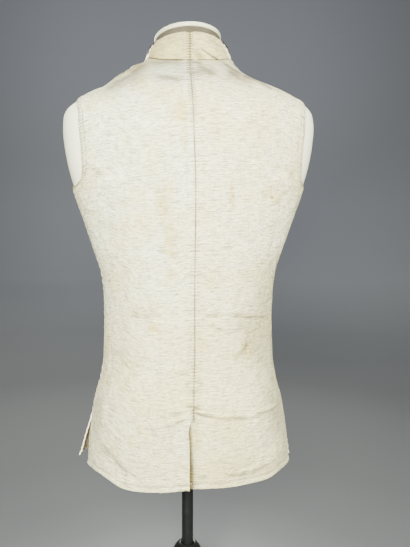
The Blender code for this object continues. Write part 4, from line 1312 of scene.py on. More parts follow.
def collar_sheet(side, behind, columns):
    end = 1.0 if behind else THROAT
    across, up = np.meshgrid(crowded(columns) * end, np.linspace(0, 1, COLLAR_ROWS + 1))
    points = stand_collar(side, behind, across, up, wall_of(behind))
    sheet = measured(points, up, side if behind else -side)
    x, z = sheet.points[..., 0], sheet.points[..., 2]
    relief = sum(slack(points, hollow) for hollow in COLLAR_SLACK)
    relief += puckers(sheet.from_hem, sheet.from_edge, FOOT_PUCKER)
    relief += puckers(sheet.from_top, sheet.from_edge, BRIM_PUCKER)
    if behind:
        relief += crease_relief(COLLAR_CREASES, x, z)
        ladder = 1.0 if side > 0 else 0.5
        relief += ladder * puckers(sheet.from_centre, sheet.from_hem, MIDDLE_PUCKER)
        # Painted shade and dirt at the collar's foot by the seam and along its brim.
        foot = FOOT_SHADE_AND_DIRT * np.exp(-((sheet.from_hem / 3.0) ** 2)) * ramp(sheet.from_centre, 4, 16)
        foot = foot * (1.0 if side > 0 else 0.35)
        brim = BRIM_SHADE_AND_DIRT * np.exp(-((sheet.from_top / 4.0) ** 2))
        return moved(sheet, relief, streaks(COLLAR_SHADE_AND_DIRT, x, z) + foot + brim)
    return moved(sheet, relief)


for label, side in SIDES.items():
    linen = collar_sheet(side, True, COLLAR_BACK_COLUMNS)
    silk = collar_sheet(side, False, COLLAR_FRONT_COLUMNS)
    hang("collar_back_" + label, True, linen, [COLLAR_LINEN], NAPE)
    hang("collar_front_" + label, False, silk, [SILK, LINING_LINEN], NAPE)


def lap_collar(label):
    """The end of the front collar, which laps a finger's width over the linen at their seam."""
    under = SHEETS["collar_back_" + label]
    count = int(np.searchsorted(under.from_edge[COLLAR_ROWS // 2], COLLAR_LAPS[label])) + 1
    points = under.points[:, :count] + under.normals[:, :count] * LAP_STAND
    return measured(points, under.rows[:, :count], SIDES[label])


LAP_SHEETS = {label: lap_collar(label) for label in SIDES}
for label, sheet in LAP_SHEETS.items():
    SHELLS["lap_" + label] = shell("collar_lap_" + label, sheet, LAP_WALL, [SILK], NAPE)
print("sheets:", len(SHELLS))

# %% [markdown]
# ## The stitches
#
# Every hem is held by running stitches that show as short dashes of thread. A dash is a small stretched
# ball, half sunk in the cloth. Its line is found on the sheet itself: the points that lie a hem's width
# from the edge. The seams need none, because their stitches are inside.

# %% Sew the hems
HEM_STITCH, COLLAR_STITCH = (4.6, 2.9, 0.75), (3.6, 2.2, 0.6)
STITCH_STAND, COLLAR_STITCH_INSET = 0.12, 3.5


def line_at(points, lengths, distance):
    """On each row of a grid, the point where the length from an edge reaches a distance."""
    line = []
    for spots, run in zip(points, lengths):
        order = slice(None) if run[0] < run[-1] else slice(None, None, -1)
        line.append([np.interp(distance, run[order], spots[order, i]) for i in range(3)])
    return np.array(line)


def sew(bm, line, normals, pitch, length, thick):
    """Lays running stitches along a line of points, with the directions out of the cloth."""
    run = np.concatenate([[0], np.cumsum(np.linalg.norm(np.diff(line, axis=0), axis=-1))])
    for start in np.arange(0.6 * pitch, run[-1] - length, pitch):
        head, tail = (
            Vector([np.interp(start + part, run, line[:, i]) for i in range(3)])
            for part in (0, length)
        )
        along = (tail - head).normalized()
        near = int(np.argmin(np.abs(run - start)))
        out = Vector(normals[near]).normalized()
        sideways = out.cross(along).normalized()
        turn = Matrix((along, sideways, along.cross(sideways))).transposed().to_4x4()
        size = Matrix.Diagonal((length / 2, thick / 2, thick / 2, 1))
        spot = (head + tail) / 2 + out * STITCH_STAND
        place = Matrix.Translation(spot * MM) @ turn @ size @ Matrix.Scale(MM, 4)
        bmesh.ops.create_icosphere(bm, subdivisions=1, radius=1, matrix=place)


LINE_ENDS, COLLAR_LINE_ENDS = slice(4, -4), slice(3, -3)
HEM_LINE_ROW, COLLAR_LINE_ROW = 6, -4
SLIT_LINE_COLUMN, ARM_LINE_COLUMN, CENTRE_LINE_COLUMN = 3, 5, -4


def hem_lines(sheet, behind):
    """The stitched lines of a body piece, each with the directions out of the cloth."""
    points, normals = sheet.points, sheet.normals
    rows = sheet.rows[:, 0]
    hem = line_at(points.swapaxes(0, 1), sheet.from_hem.T, HEM_WIDTH)
    lines = [(hem[LINE_ENDS], normals[HEM_LINE_ROW, LINE_ENDS])]
    skirt = rows < ROWS_TO_SLIT - 0.5
    slit = line_at(points[skirt], sheet.from_edge[skirt], VENT_HEM_WIDTH)
    lines.append((slit, normals[skirt, SLIT_LINE_COLUMN]))
    arm = (rows > UNDERARM_ROW + 1) & (rows < TIP_ROW - 0.3)
    armhole = line_at(points[arm], sheet.from_edge[arm], ARMHOLE_BAND)
    lines.append((armhole, normals[arm, ARM_LINE_COLUMN]))
    open_edge = points[:, -1, 2] < VENT_TOP - 6 if behind else rows >= 0
    inset = VENT_HEM_WIDTH if behind else FRONT_EDGE_WIDTH
    edge = line_at(points[open_edge], sheet.from_centre[open_edge], inset)
    return lines + [(edge, normals[open_edge, CENTRE_LINE_COLUMN])]


def sew_hems():
    bm = bmesh.new()
    for name, sheet in SHEETS.items():
        if name.startswith("collar"):
            top = line_at(sheet.points.swapaxes(0, 1), sheet.from_top.T, COLLAR_STITCH_INSET)
            normals = sheet.normals[COLLAR_LINE_ROW, COLLAR_LINE_ENDS]
            sew(bm, top[COLLAR_LINE_ENDS], normals, *COLLAR_STITCH)
        else:
            for line, normals in hem_lines(sheet, name.startswith("back")):
                sew(bm, line, normals, *HEM_STITCH)
    return as_object("hem_stitches", bm, THREADS["linen"], 180)


STITCHES = sew_hems()
print("stitches:", len(STITCHES.data.polygons) // 20)

# %% [markdown]
# ## The embroidery
#
# The silk fronts and the front of the collar carry a worked border: a waving stem with leaves, buds and
# five-petalled flowers between two lines, and small sprigs are powdered over the ground. Satin stitch
# stands up from the silk, so each petal is a small domed patch rather than a painted shape. A patch is
# drawn flat, in a frame of two directions on the cloth, and every point of it is then laid on the cloth
# by finding the nearest place there. One mesh holds each colour of thread.

# %% Motifs made of satin stitch
PATCH_SINK, PATCH_CELLS, CORD_CELLS = 0.14, (6, 4), 2
SWELL_POWER, POINT_SWELL = 0.75, 0.04
CORD_STEP, KNOT_LIFT = 2.5, 0.2
Frame = namedtuple("Frame", "spot along inward")


Part = namedtuple("Part", "colour length width height blunt")
PETALS = table_of(Part, ("rose", 0.52, 0.46, 0.7, 1.5), ("white", 0.30, 0.27, 1.0, 1.3))
BUD_PETALS = table_of(Part, ("white", 1.0, 0.55, 0.6, 1.3), ("rose", 0.7, 0.32, 0.8, 1.3))
LEAF, BUD_LEAF = Part("olive", 1.0, 0.36, 0.5, 1.0), Part("olive", 0.62, 0.22, 0.5, 1.0)
LEAF_LEAN, BUD_LEAN, PETAL_RING, KNOT_RING, KNOT_SIZE, KNOTS = 38, 24, 0.16, 0.09, 0.07, 3


def way_of(turn):
    """A direction in degrees as its two parts."""
    return math.cos(math.radians(turn)), math.sin(math.radians(turn))


def beside(place, turn, distance):
    """A place a distance away from another, in a direction in degrees."""
    ahead, sideways = way_of(turn)
    return place[0] + distance * ahead, place[1] + distance * sideways


def cover_of(name):
    """The outer face of a shell, to lay threads on."""
    mesh = SHELLS[name].data
    return BVHTree.FromPolygons([v.co for v in mesh.vertices], [p.vertices for p in mesh.polygons])


class Needle:
    """Lays patches of thread on one sheet of cloth."""

    def __init__(self, cover, skeins):
        self.cover, self.skeins = cover, skeins

    def lay(self, place, lift):
        spot, normal, _, _ = self.cover.find_nearest(place * MM)
        return spot + normal * (lift * MM)

    def patch(self, colour, frame, place, turn, length, width, height=0.55, blunt=1.0):
        """One petal or leaf: place is its root in the frame, turn its direction in degrees."""
        ahead, sideways = way_of(turn)
        along = frame.along * ahead + frame.inward * sideways
        aside = frame.inward * ahead - frame.along * sideways
        root = frame.spot + frame.along * place[0] + frame.inward * place[1]
        bm, pattern = self.skeins[colour]
        long, wide = PATCH_CELLS
        made = bmesh.ops.create_grid(bm, x_segments=long, y_segments=wide, size=1)["verts"]
        flat = {}
        for vert in made:
            run, across = (vert.co.x + 1) / 2, vert.co.y
            swell = math.sin(math.pi * run ** blunt) ** SWELL_POWER if 0 < run < 1 else POINT_SWELL
            flat[vert] = (run * length * MM, across * width * MM)
            spot = root + along * (run * length) + aside * (across * swell * width / 2)
            vert.co = self.lay(spot, (1 - across ** 2) * swell * height - PATCH_SINK)
        self.mark(made, flat, pattern)

    def mark(self, made, flat, pattern):
        for face in {face for vert in made for face in vert.link_faces}:
            face.smooth = True
            for loop in face.loops:
                loop[pattern].uv = flat[loop.vert]

    def cord(self, colour, places, width, height=0.4):
        """A line of couched thread or stem stitch through a list of places."""
        bm, pattern = self.skeins[colour]
        count = len(places) - 1
        made = bmesh.ops.create_grid(bm, x_segments=count, y_segments=CORD_CELLS, size=1)["verts"]
        flat = {}
        for vert in made:
            step, across = round((vert.co.x + 1) / 2 * count), vert.co.y
            ahead = places[min(step + 1, count)] - places[max(step - 1, 0)]
            _, normal, _, _ = self.cover.find_nearest(places[step] * MM)
            aside = normal.cross(ahead).normalized()
            flat[vert] = (step * CORD_STEP * MM, across * width * MM)
            spot = places[step] + aside * (across * width / 2)
            vert.co = self.lay(spot, (1 - across ** 2) * height - PATCH_SINK)
        self.mark(made, flat, pattern)

    def knot(self, colour, frame, place, size):
        spot = self.lay(frame.spot + frame.along * place[0] + frame.inward * place[1], KNOT_LIFT)
        ball = Matrix.Translation(spot) @ Matrix.Scale(size * MM, 4)
        bmesh.ops.create_icosphere(self.skeins[colour][0], subdivisions=1, radius=1, matrix=ball)

    def part(self, part, frame, place, turn, size):
        """A patch whose measures are shares of its motif's size."""
        length, width = part.length * size, part.width * size
        self.patch(part.colour, frame, place, turn, length, width, part.height, part.blunt)

    def flower(self, frame, place, size, petals=5, turn=90):
        for index in range(petals):
            angle = turn + 360 * index / petals
            for petal in PETALS:
                self.part(petal, frame, beside(place, angle, PETAL_RING * size), angle, size)
        for index in range(KNOTS):
            spot = beside(place, turn + 40 + 360 * index / KNOTS, KNOT_RING * size)
            self.knot("brown", frame, spot, KNOT_SIZE * size)

    def bud(self, frame, place, turn, size):
        for petal in BUD_PETALS:
            self.part(petal, frame, place, turn, size)
        for lean in (-BUD_LEAN, BUD_LEAN):
            self.part(BUD_LEAF, frame, place, turn + lean, size)

    def leaf_pair(self, frame, place, turn, size):
        for lean in (-LEAF_LEAN, LEAF_LEAN):
            self.part(LEAF, frame, place, turn + lean, size)

    def sprig(self, frame, size, turn):
        """A small spray for the ground: a short stem, two leaves and a flower."""
        ahead, sideways = way_of(turn)
        stem = [
            frame.spot + frame.along * (ahead * t + 0.14 * size * math.sin(t / size * 3) * sideways)
            + frame.inward * (sideways * t)
            for t in np.linspace(-0.6 * size, 0.45 * size, 6)
        ]
        self.cord("brown", stem, 0.10 * size)
        self.leaf_pair(frame, beside((0, 0), turn, -0.2 * size), turn, 0.5 * size)
        self.flower(frame, beside((0, 0), turn, 0.55 * size), 0.72 * size, 5, turn)


def new_skein():
    bm = bmesh.new()
    return bm, bm.loops.layers.uv.new("Cloth")


SKEINS = {colour: new_skein() for colour in ("white", "olive", "brown", "rose", "black")}
print("skeins:", list(SKEINS))

# %% [markdown]
# ## The border and the sprigs
#
# The border keeps to the garment's free edges: down the centre front, round the cutaway and along the
# hem, and round the collar. A border is a line on the sheet with a direction into the cloth at each of
# its points, so the same waving stem can follow a straight edge and a curved one.

# %% A line with a direction into the cloth
BORDER_INSET, BORDER_WAVE, BORDER_REPEAT = 19.0, 5.5, 46.0
EDGE_LINE_INSET, INNER_LINE_INSET, EDGE_REACH, COLLAR_REACH = 8.5, 32.0, 14.0, 8.0
BORDER_FLOWER, BORDER_BUD, CREST_LEAF, TROUGH_LEAF, STEM_LEAF = 14.5, 9.0, 8.5, 7.5, 6.5
STEM_CORD, EDGE_CORD, INNER_CORD = 1.5, 2.4, 1.9
CENTRE_ENDS, HEM_ENDS, COLLAR_ENDS, COLLAR_SCALE = (16, 30), (30, 12), (3, 4), 0.72
CORNER_PLACE, CORNER_FLOWER, CORNER_PETALS = (14, 18), 15, 6
SPRIG_PITCH, SPRIG_SIZE, SPRIG_LEAN = 46.0, 17.0, 18
GROUND_FOOT, GROUND_INSET, GROUND_COLUMNS, GROUND_CLEAR, TOP_CLEAR = 58, 52, 5, 17, 24
Leaf = namedtuple("Leaf", "colour run inset turn length width height")
COLLAR_END_LEAVES = table_of(
    Leaf,
    ("black", 0.8, 3.2, 6, 19, 5.0, 0.7), ("black", 0.8, 6.5, 32, 13, 3.6, 0.6),
    ("olive", 1.0, 12, 70, 10, 4.0, 0.6), ("rose", 1.0, 19, 40, 8, 4.0, 0.6),
    ("olive", 1.0, 24, 75, 9, 3.6, 0.6),
)
LAP_LEAVES = [(1, "brown", 6), (5, "black", 11), (15, "olive", 8), (22, "rose", 8)]
LAP_LEAF_WIDTH, LAP_LEAF_HEIGHT, LAP_COLUMN, LAP_TURNS = 5.6, 0.8, 7.5, (54, 118)
LAP_CORDS, LAP_CORD_WIDTH = [("black", 2, 17, 2.4), ("brown", 17, 27, 1.3)], 3.6
CORD_RUNS = {"left": 1.0, "right": 8.0}


class Border:
    """A line along a sheet's edge that gives frames at any run and inset."""

    def __init__(self, edge, inner):
        self.edge, self.inward = edge, unit(inner - edge)
        steps = np.linalg.norm(np.diff(edge, axis=0), axis=-1)
        self.run = np.concatenate([[0], np.cumsum(steps)])

    def read(self, run, table):
        return Vector([np.interp(run, self.run, table[:, i]) for i in range(3)])

    def frame(self, run, inset):
        inward = self.read(run, self.inward).normalized()
        along = (self.read(run + 3, self.edge) - self.read(run - 3, self.edge)).normalized()
        along = (along - inward * along.dot(inward)).normalized()
        return Frame(self.read(run, self.edge) + inward * inset, along, inward)

    def length(self):
        return float(self.run[-1])


def centre_border(sheet):
    rows = slice(None, None, -1)
    inner = line_at(sheet.points[rows], sheet.from_centre[rows], EDGE_REACH)
    return Border(sheet.points[rows, -1], inner)


def hem_border(sheet):
    columns = slice(None, None, -1)
    points = sheet.points.swapaxes(0, 1)[columns]
    return Border(points[:, 0], line_at(points, sheet.from_hem.T[columns], EDGE_REACH))


def top_border(sheet):
    points = sheet.points.swapaxes(0, 1)
    return Border(points[:, -1], line_at(points, sheet.from_top.T, COLLAR_REACH))


print("borders start and end at", CENTRE_ENDS, HEM_ENDS, COLLAR_ENDS)


# %% Work one border, and the collar's ends
FLOWER_SHIFT = -4.6
CREST_LEAVES = ((5, 30), (-5, 150))


def work_border(needle, border, start, end, scale=1.0, inner_line=True):
    """A waving stem with flowers on its crests, buds in its troughs, leaves between and a line beside."""
    repeat = (end - start) / max(1, round((end - start) / (BORDER_REPEAT * scale)))
    middle, wave = BORDER_INSET * scale, BORDER_WAVE * scale

    def stem(run):
        return border.frame(run, middle + wave * math.sin(2 * math.pi * (run - start) / repeat))

    runs = np.arange(start, end + 0.1, CORD_STEP)
    needle.cord("brown", [stem(run).spot for run in runs], STEM_CORD * scale)
    edge_line = [border.frame(run, EDGE_LINE_INSET * scale).spot for run in runs]
    needle.cord("brown", edge_line, EDGE_CORD * scale)
    if inner_line:
        inner = [border.frame(run, INNER_LINE_INSET * scale).spot for run in runs]
        needle.cord("olive", inner, INNER_CORD * scale)
    for index in range(round((end - start) / repeat)):
        run = start + index * repeat
        crest, trough = stem(run + 0.25 * repeat), stem(run + 0.75 * repeat)
        needle.flower(crest, (0, FLOWER_SHIFT * scale), BORDER_FLOWER * scale, 5, -90)
        for shift, turn in CREST_LEAVES:
            needle.leaf_pair(crest, (shift * scale, scale), turn, CREST_LEAF * scale)
        needle.bud(trough, (0, 2.0 * scale), 70, BORDER_BUD * scale)
        needle.leaf_pair(trough, (-3 * scale, -0.5 * scale), 215, TROUGH_LEAF * scale)
        needle.leaf_pair(stem(run), (0, 0), 20, STEM_LEAF * scale)
        needle.leaf_pair(stem(run + 0.5 * repeat), (0, 0), -20, STEM_LEAF * scale)


def work_collar_lap(needle, top, wide, cord_run):
    """The border's last leaves, on the silk that laps over the linen, and a dark cord beside them."""
    columns = max(2, round(wide / LAP_COLUMN))
    for column in range(columns):
        run = (column + 0.6) * wide / columns
        for inset, colour, length in LAP_LEAVES:
            turn = LAP_TURNS[(column + inset) % 2]
            frame = top.frame(run, inset)
            needle.patch(colour, frame, (0, 0), turn, length, LAP_LEAF_WIDTH, LAP_LEAF_HEIGHT)
    for colour, start, end, height in LAP_CORDS:
        insets = np.arange(start, end + 1, CORD_STEP)
        places = [top.frame(cord_run, inset).spot for inset in insets]
        needle.cord(colour, places, LAP_CORD_WIDTH, height)


def work_collar_end(needle, top):
    """Dark and olive leaves and a bud where the border meets the back half of the collar."""
    for leaf in COLLAR_END_LEAVES:
        frame = top.frame(leaf.run, leaf.inset)
        needle.patch(leaf.colour, frame, (0, 0), leaf.turn, leaf.length, leaf.width, leaf.height)


print("leaves at a collar's end:", len(COLLAR_END_LEAVES))


# %% Powder the ground, and work both fronts
def powder_ground(needle, sheet):
    """Sprigs in a half-drop over the silk, clear of the borders and the edges."""
    count = 0
    across = sheet.from_centre
    for row, up in enumerate(np.arange(GROUND_FOOT, sheet.from_hem[-1].max(), SPRIG_PITCH)):
        for column in range(GROUND_COLUMNS):
            inset = GROUND_INSET + (column + 0.5 * (row % 2)) * SPRIG_PITCH
            miss = np.abs(across - inset) + np.abs(sheet.from_hem - up)
            r, c = np.unravel_index(np.argmin(miss), miss.shape)
            near_edge = sheet.from_edge[r, c] < GROUND_CLEAR or sheet.from_top[r, c] < TOP_CLEAR
            if miss[r, c] > 4 or near_edge:
                continue
            spot = Vector(sheet.points[r, c])
            upwards = (Vector(sheet.points[r + 2, c]) - spot).normalized()
            along = upwards.cross(Vector(sheet.normals[r, c])).normalized()
            lean = SPRIG_LEAN if row % 2 else -SPRIG_LEAN
            needle.sprig(Frame(spot, along, upwards), SPRIG_SIZE, 90 + lean)
            count += 1
    return count


def work_whole(needle, border, ends, scale=1.0, inner_line=True):
    work_border(needle, border, ends[0], border.length() - ends[1], scale, inner_line)


def work_fronts():
    sprigs = 0
    for label in SIDES:
        sheet, needle = SHEETS["front_" + label], Needle(cover_of("front_" + label), SKEINS)
        hem = hem_border(sheet)
        work_whole(needle, centre_border(sheet), CENTRE_ENDS)
        work_whole(needle, hem, HEM_ENDS)
        needle.flower(hem.frame(*CORNER_PLACE), (0, 0), CORNER_FLOWER, CORNER_PETALS)
        sprigs += powder_ground(needle, sheet)
        needle = Needle(cover_of("collar_front_" + label), SKEINS)
        top = top_border(SHEETS["collar_front_" + label])
        work_whole(needle, top, COLLAR_ENDS, COLLAR_SCALE, inner_line=False)
        work_collar_end(needle, top)
        lap = Needle(cover_of("lap_" + label), SKEINS)
        work_collar_lap(lap, top_border(LAP_SHEETS[label]), COLLAR_LAPS[label], CORD_RUNS[label])
    return sprigs


SPRIGS = work_fronts()
EMBROIDERY = [
    as_object("embroidery_" + colour, bm, THREADS[colour], 180) for colour, (bm, _) in SKEINS.items()
]
print("sprigs:", SPRIGS, "faces:", [len(thing.data.polygons) for thing in EMBROIDERY])

# %% [markdown]
# ## The buttons and their holes
#
# Ten buttons are covered with thread wound over a mould, which leaves a pattern of nested squares. Each
# is a turned dome set square on the silk. Its flat pattern, kept as UVs, gives the material the two
# distances from which it draws the squares. The left front has a worked buttonhole beside each.

# %% Cover the buttons
BUTTON_COUNT, BUTTON_RADIUS, BUTTON_HEIGHT = 10, 7.5, 4.0
BUTTON_PROFILE = [(0, 1), (0.25, 0.985), (0.5, 0.92), (0.72, 0.76), (0.9, 0.5), (1.0, 0.22), (0.97, 0)]
BUTTON_SIDES, WOUND_PITCH = 32, 0.0008
BUTTON_STRAW, BUTTON_BROWN, BUTTON_GROOVE_SHADE = (0.66, 0.56, 0.38), (0.10, 0.062, 0.036), (0.20, 0.14, 0.08)
HOLE_LENGTH, HOLE_WIDTH, SLIT_LENGTH, SLIT_WIDTH = 16.0, 3.4, 13.5, 0.9


def paint_wound_thread():
    paint = Paint("wound_thread", roughness=0.45, Sheen_Weight=0.25)
    u, v, _ = paint.parts(paint.cloth())
    square = u.math("MAXIMUM", abs(u), abs(v))
    rings = (square * (2 * math.pi / WOUND_PITCH)).sine()
    dark = paint.step(square, 0.0035, 0.0042) * (1 - paint.step(square, 0.0052, 0.0058))
    colour = paint.mix(dark, BUTTON_STRAW, BUTTON_BROWN)
    # Painted shade in the grooves between the windings.
    paint.set("Base Color", paint.mix(rings * 0.25 + 0.25, colour, BUTTON_GROOVE_SHADE))
    paint.set("Normal", paint.bump(rings * 0.5 + 0.5, 0.00025))
    return paint.material


def cover_button(name, place, out, material):
    """A turned dome on its seat, with its flat plan as UVs."""
    profile = [(wide * BUTTON_RADIUS, high * BUTTON_HEIGHT) for wide, high in BUTTON_PROFILE] + [(0, 0)]
    bm = spun(profile, BUTTON_SIDES)
    plan = bm.loops.layers.uv.new("Cloth")
    for face in bm.faces:
        for loop in face.loops:
            loop[plan].uv = loop.vert.co.x * MM, loop.vert.co.y * MM
    turn = Vector((0, 0, 1)).rotation_difference(out).to_matrix().to_4x4()
    seat = Matrix.Translation(place) @ turn @ Matrix.Scale(MM, 4)
    bmesh.ops.transform(bm, matrix=seat, verts=bm.verts[:])
    return as_object(name, bm, material, 50)


def button_seats():
    """Where the buttons sit and which way they face: the solids' boxes give their heights."""
    seats = []
    for index in range(BUTTON_COUNT):
        low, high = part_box(f"button_{index + 1:02d}")
        height = (low[2] + high[2]) / 2 / MM
        angle = np.array(-90.0)
        out = Vector(torso_normal(angle, height))
        seats.append((Vector(cloth_at(1, False, angle, height, SILK_WALL + SEAM_GAP)) * MM, out))
    return seats


WOUND = paint_wound_thread()
BUTTONS = [
    cover_button(f"wound_button_{index + 1:02d}", place, out, WOUND)
    for index, (place, out) in enumerate(button_seats())
]


def work_buttonholes():
    """A bar of white thread with a dark slit along it, from each button towards the wearer's left."""
    skeins = {"white": new_skein(), "brown": new_skein()}
    needle = Needle(cover_of("front_left"), skeins)
    for place, out in button_seats():
        up = out.cross(Vector((1, 0, 0))).normalized()
        frame = Frame(place / MM, Vector((1, 0, 0)), up)
        needle.patch("white", frame, (1, 0), 0, HOLE_LENGTH, HOLE_WIDTH, 0.5)
        needle.patch("brown", frame, (2, 0), 0, SLIT_LENGTH, SLIT_WIDTH, 0.75)
    return [as_object("buttonholes_" + key, bm, THREADS[key], 180) for key, (bm, _) in skeins.items()]


BUTTONHOLES = work_buttonholes()
print("buttons:", len(BUTTONS), "holes:", BUTTON_COUNT)

# %% [markdown]
# ## The dress form
#
# The form is smooth and white, with no arms or legs. The same table of sections that the clothes hang on
# gives it a finer skin. Its neck is bound with a tape of brown linen whose ends lap behind, and a white
# cap closes it. The tape's brown is painted darker, as painted shade under the cap's lip.

# %% Skin the form, bind its neck and cap it
FORM_COLUMNS, FORM_CELL = 128, 6.0
FORM_WHITE, FORM_SHADE = (0.72, 0.74, 0.60), (0.68, 0.685, 0.54)
TAPE_FOOT, TAPE_STAND, TAPE_LAP, TAPE_WALL = 1010.0, 0.7, 0.7, 0.5
TAPE_JOIN, TAPE_COLUMNS, TAPE_ROWS = 84.0, 130, 6
TAPE_DARK, TAPE_WORN, TAPE_PITCH = (0.032, 0.027, 0.016), (0.106, 0.090, 0.060), 0.0009
CAP_RADIUS, CAP_ROUND, CAP_SIDES = 59, 2.2, 96
CAP_WHITE, CAP_SHADE = (0.51, 0.52, 0.40), (0.46, 0.46, 0.35)


def paint_form():
    paint = Paint("form_skin", roughness=0.62, Specular_IOR_Level=0.35)
    place = paint.place()
    mottle = paint.cloud(place, 9.0, 3.0)
    paint.set("Base Color", paint.mix(mottle, FORM_WHITE, FORM_SHADE))
    knit = paint.cloud(paint.stretch(place, (900.0, 900.0, 1400.0)), 1.0, 1.0)
    paint.set("Normal", paint.bump(knit, 0.00015))
    return paint.material


def skin_form():
    heights = np.arange(FORM_FOOT, CAP_FOOT - SEAM_GAP, FORM_CELL)
    heights = np.append(heights, CAP_FOOT - SEAM_GAP)
    bm = bmesh.new()
    bmesh.ops.create_grid(bm, x_segments=FORM_COLUMNS, y_segments=len(heights) - 1, size=1)
    turns = np.array([(vert.co.x + 1) * 180 for vert in bm.verts])
    levels = heights[[round((vert.co.y + 1) / 2 * (len(heights) - 1)) for vert in bm.verts]]
    for vert, point in zip(bm.verts, torso_at(turns, levels)):
        vert.co = point * MM
    bmesh.ops.remove_doubles(bm, verts=bm.verts[:], dist=1e-6)
    bmesh.ops.holes_fill(bm, edges=bm.edges[:], sides=0)
    bmesh.ops.recalc_face_normals(bm, faces=bm.faces[:])
    return as_object("form_skin", bm, paint_form(), 50)


def paint_tape():
    paint = Paint("neck_tape", roughness=0.85)
    cloth = paint.cloth()
    worn = paint.cloud(paint.place(), 60.0, 4.0)
    # Brown tape darkened with painted shade under the cap's lip.
    paint.set("Base Color", paint.mix(worn, TAPE_DARK, TAPE_WORN))
    paint.set("Normal", paint.bump(weave_height(paint, cloth, TAPE_PITCH), 0.0002))
    return paint.material


def bind_neck():
    """A tape round the neck, whose last stretch rises over its first."""
    turns = np.linspace(TAPE_JOIN - 4, TAPE_JOIN + 360, TAPE_COLUMNS)
    turn, height = np.meshgrid(turns, np.linspace(TAPE_FOOT, CAP_FOOT - 2 * SEAM_GAP, TAPE_ROWS))
    stand = TAPE_STAND + TAPE_LAP * ramp(turn, TAPE_JOIN + 350, TAPE_JOIN + 358)
    points = torso_at(turn, height) + torso_normal(turn, height) * stand[..., None]
    sheet = measured(points, height, 1)
    return shell("neck_tape", sheet, TAPE_WALL, [paint_tape()])


def paint_enamel(name, colour, speck, roughness, gloss=0.5):
    """Enamel over metal: gloss with faint handling marks."""
    paint = Paint(name, roughness=roughness, Specular_IOR_Level=gloss)
    marks = paint.cloud(paint.place(), 70.0, 5.0, 0.6)
    paint.set("Base Color", paint.mix(paint.step(marks, 0.45, 0.8), colour, speck))
    paint.set("Roughness", marks * 0.16 + (roughness - 0.08))
    paint.set("Normal", paint.bump(marks, 0.00002))
    return paint.material


def in_metres(profile):
    return [(radius * MM, height * MM) for radius, height in profile]


def cap_neck():
    edge = arc(CAP_RADIUS - CAP_ROUND, CAP_FOOT + CAP_ROUND, CAP_ROUND, -90, 0, 5)
    edge += arc(CAP_RADIUS - CAP_ROUND, CAP_TOP - CAP_ROUND, CAP_ROUND, 0, 90, 5)
    white = paint_enamel("cap_white", CAP_WHITE, CAP_SHADE, 0.4)
    return turned("white_cap", in_metres([(0, CAP_FOOT)] + edge + [(0, CAP_TOP)]), CAP_SIDES, white)


FORM, TAPE, CAP = skin_form(), bind_neck(), cap_neck()
print("form:", len(FORM.data.polygons), "faces")

# %% [markdown]
# ## The stand
#
# A dark steel pole runs from a flange under the form into the hub of a turned black base. The base is
# turned again with more steps, so that its round edges catch clean highlights. The pole and the flange
# have the right shape already and only get their finish.

# %% Finish the stand
BASE_TURNING = [
    (0, 0), (153, 0), (154.4, 0.6), (155, 2), (155, 7), (154.1, 9.1), (152, 10), (131, 12.2), (110, 15),
    (88, 19), (70, 24), (56, 30.3), (44, 38), (36, 47.5), (30, 60), (26.6, 72), (24.5, 84), (24.8, 94),
]
BASE_SIDES, HUB_RADIUS, HUB_CENTRE, HUB_NECK = 96, 27, 118, (26, 104)
ENAMEL_BLACK, ENAMEL_SPECK = (0.005, 0.005, 0.005), (0.009, 0.009, 0.009)
POLE_GREY, POLE_SPECK = (0.0036, 0.0041, 0.0047), (0.007, 0.008, 0.010)
POLE_RADIUS, SOCKET_FLARE, SOCKET_DEPTH = 10, 4, 45


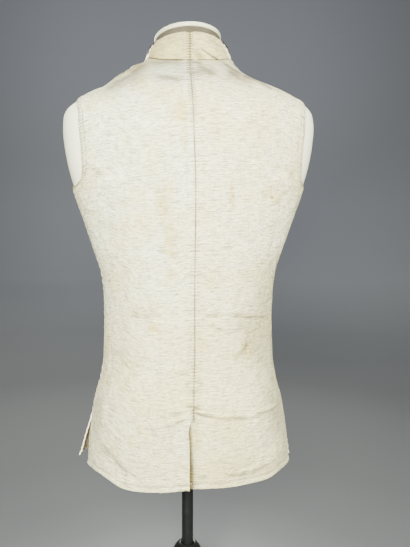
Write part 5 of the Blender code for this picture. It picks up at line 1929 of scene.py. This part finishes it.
def turn_base(enamel):
    lip = POLE_RADIUS + SOCKET_FLARE
    lip_angle = math.degrees(math.acos(lip / HUB_RADIUS))
    lip_height = HUB_CENTRE + HUB_RADIUS * math.sin(math.radians(lip_angle))
    bore, socket_foot = POLE_RADIUS + SEAM_GAP, HUB_CENTRE + HUB_RADIUS - SOCKET_DEPTH
    profile = BASE_TURNING + [HUB_NECK] + arc(0, HUB_CENTRE, HUB_RADIUS, 0, lip_angle, 14)
    profile += arc(lip, lip_height - SOCKET_FLARE, SOCKET_FLARE - SEAM_GAP, 80, 180, 5)
    profile += [(bore, socket_foot), (0, socket_foot)]
    return turned("turned_base", in_metres(profile), BASE_SIDES, enamel, 30)


def paint_node(name, material):
    slots = frame["nodes"][name].data.materials
    slots.clear()
    slots.append(material)


BLACK = paint_enamel("black_enamel", ENAMEL_BLACK, ENAMEL_SPECK, 0.30, 0.35)
GREY = paint_enamel("pole_grey", POLE_GREY, POLE_SPECK, 0.46, 0.20)
BASE = turn_base(BLACK)
paint_node("pole", GREY)
paint_node("pole_flange", BLACK)
print("base:", len(BASE.data.polygons), "faces")

# %% [markdown]
# ## Which piece stands for which solid
#
# Each sheet hides the plain solid that it dresses. Every new piece, the stitches and the embroidery
# too, is parented to the root body.

# %% Tie every piece to the object
Cut = namedtuple("Cut", "name width length area")
CUTS = table_of(
    Cut,
    ("back_left", 0.253, 0.791, 0.149), ("back_right", 0.253, 0.787, 0.149),
    ("front_left", 0.283, 0.765, 0.154), ("front_right", 0.283, 0.766, 0.154),
    ("collar_back_left", 0.100, 0.055, 0.0046), ("collar_back_right", 0.100, 0.055, 0.0046),
    ("collar_front_left", 0.120, 0.055, 0.0050), ("collar_front_right", 0.120, 0.055, 0.0050),
)


def tie(thing, slot, *nodes):
    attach(thing, "root")
    if nodes:
        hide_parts(*nodes)


for cut in CUTS:
    slot = "back_linen" if "back" in cut.name else "front_silk"
    tie(SHELLS[cut.name], slot, cut.name)
for index, button in enumerate(BUTTONS):
    tie(button, "button_thread", f"button_{index + 1:02d}")
for thing in EMBROIDERY + BUTTONHOLES + [SHELLS["lap_left"], SHELLS["lap_right"]]:
    tie(thing, "front_silk")
tie(STITCHES, "back_linen")
tie(FORM, "form_shell", "dress_form")
tie(CAP, "form_cap", "neck_cap")
tie(BASE, "stand_black", "base")
tie(TAPE, "form_shell")

# %% [markdown]
# ## The end
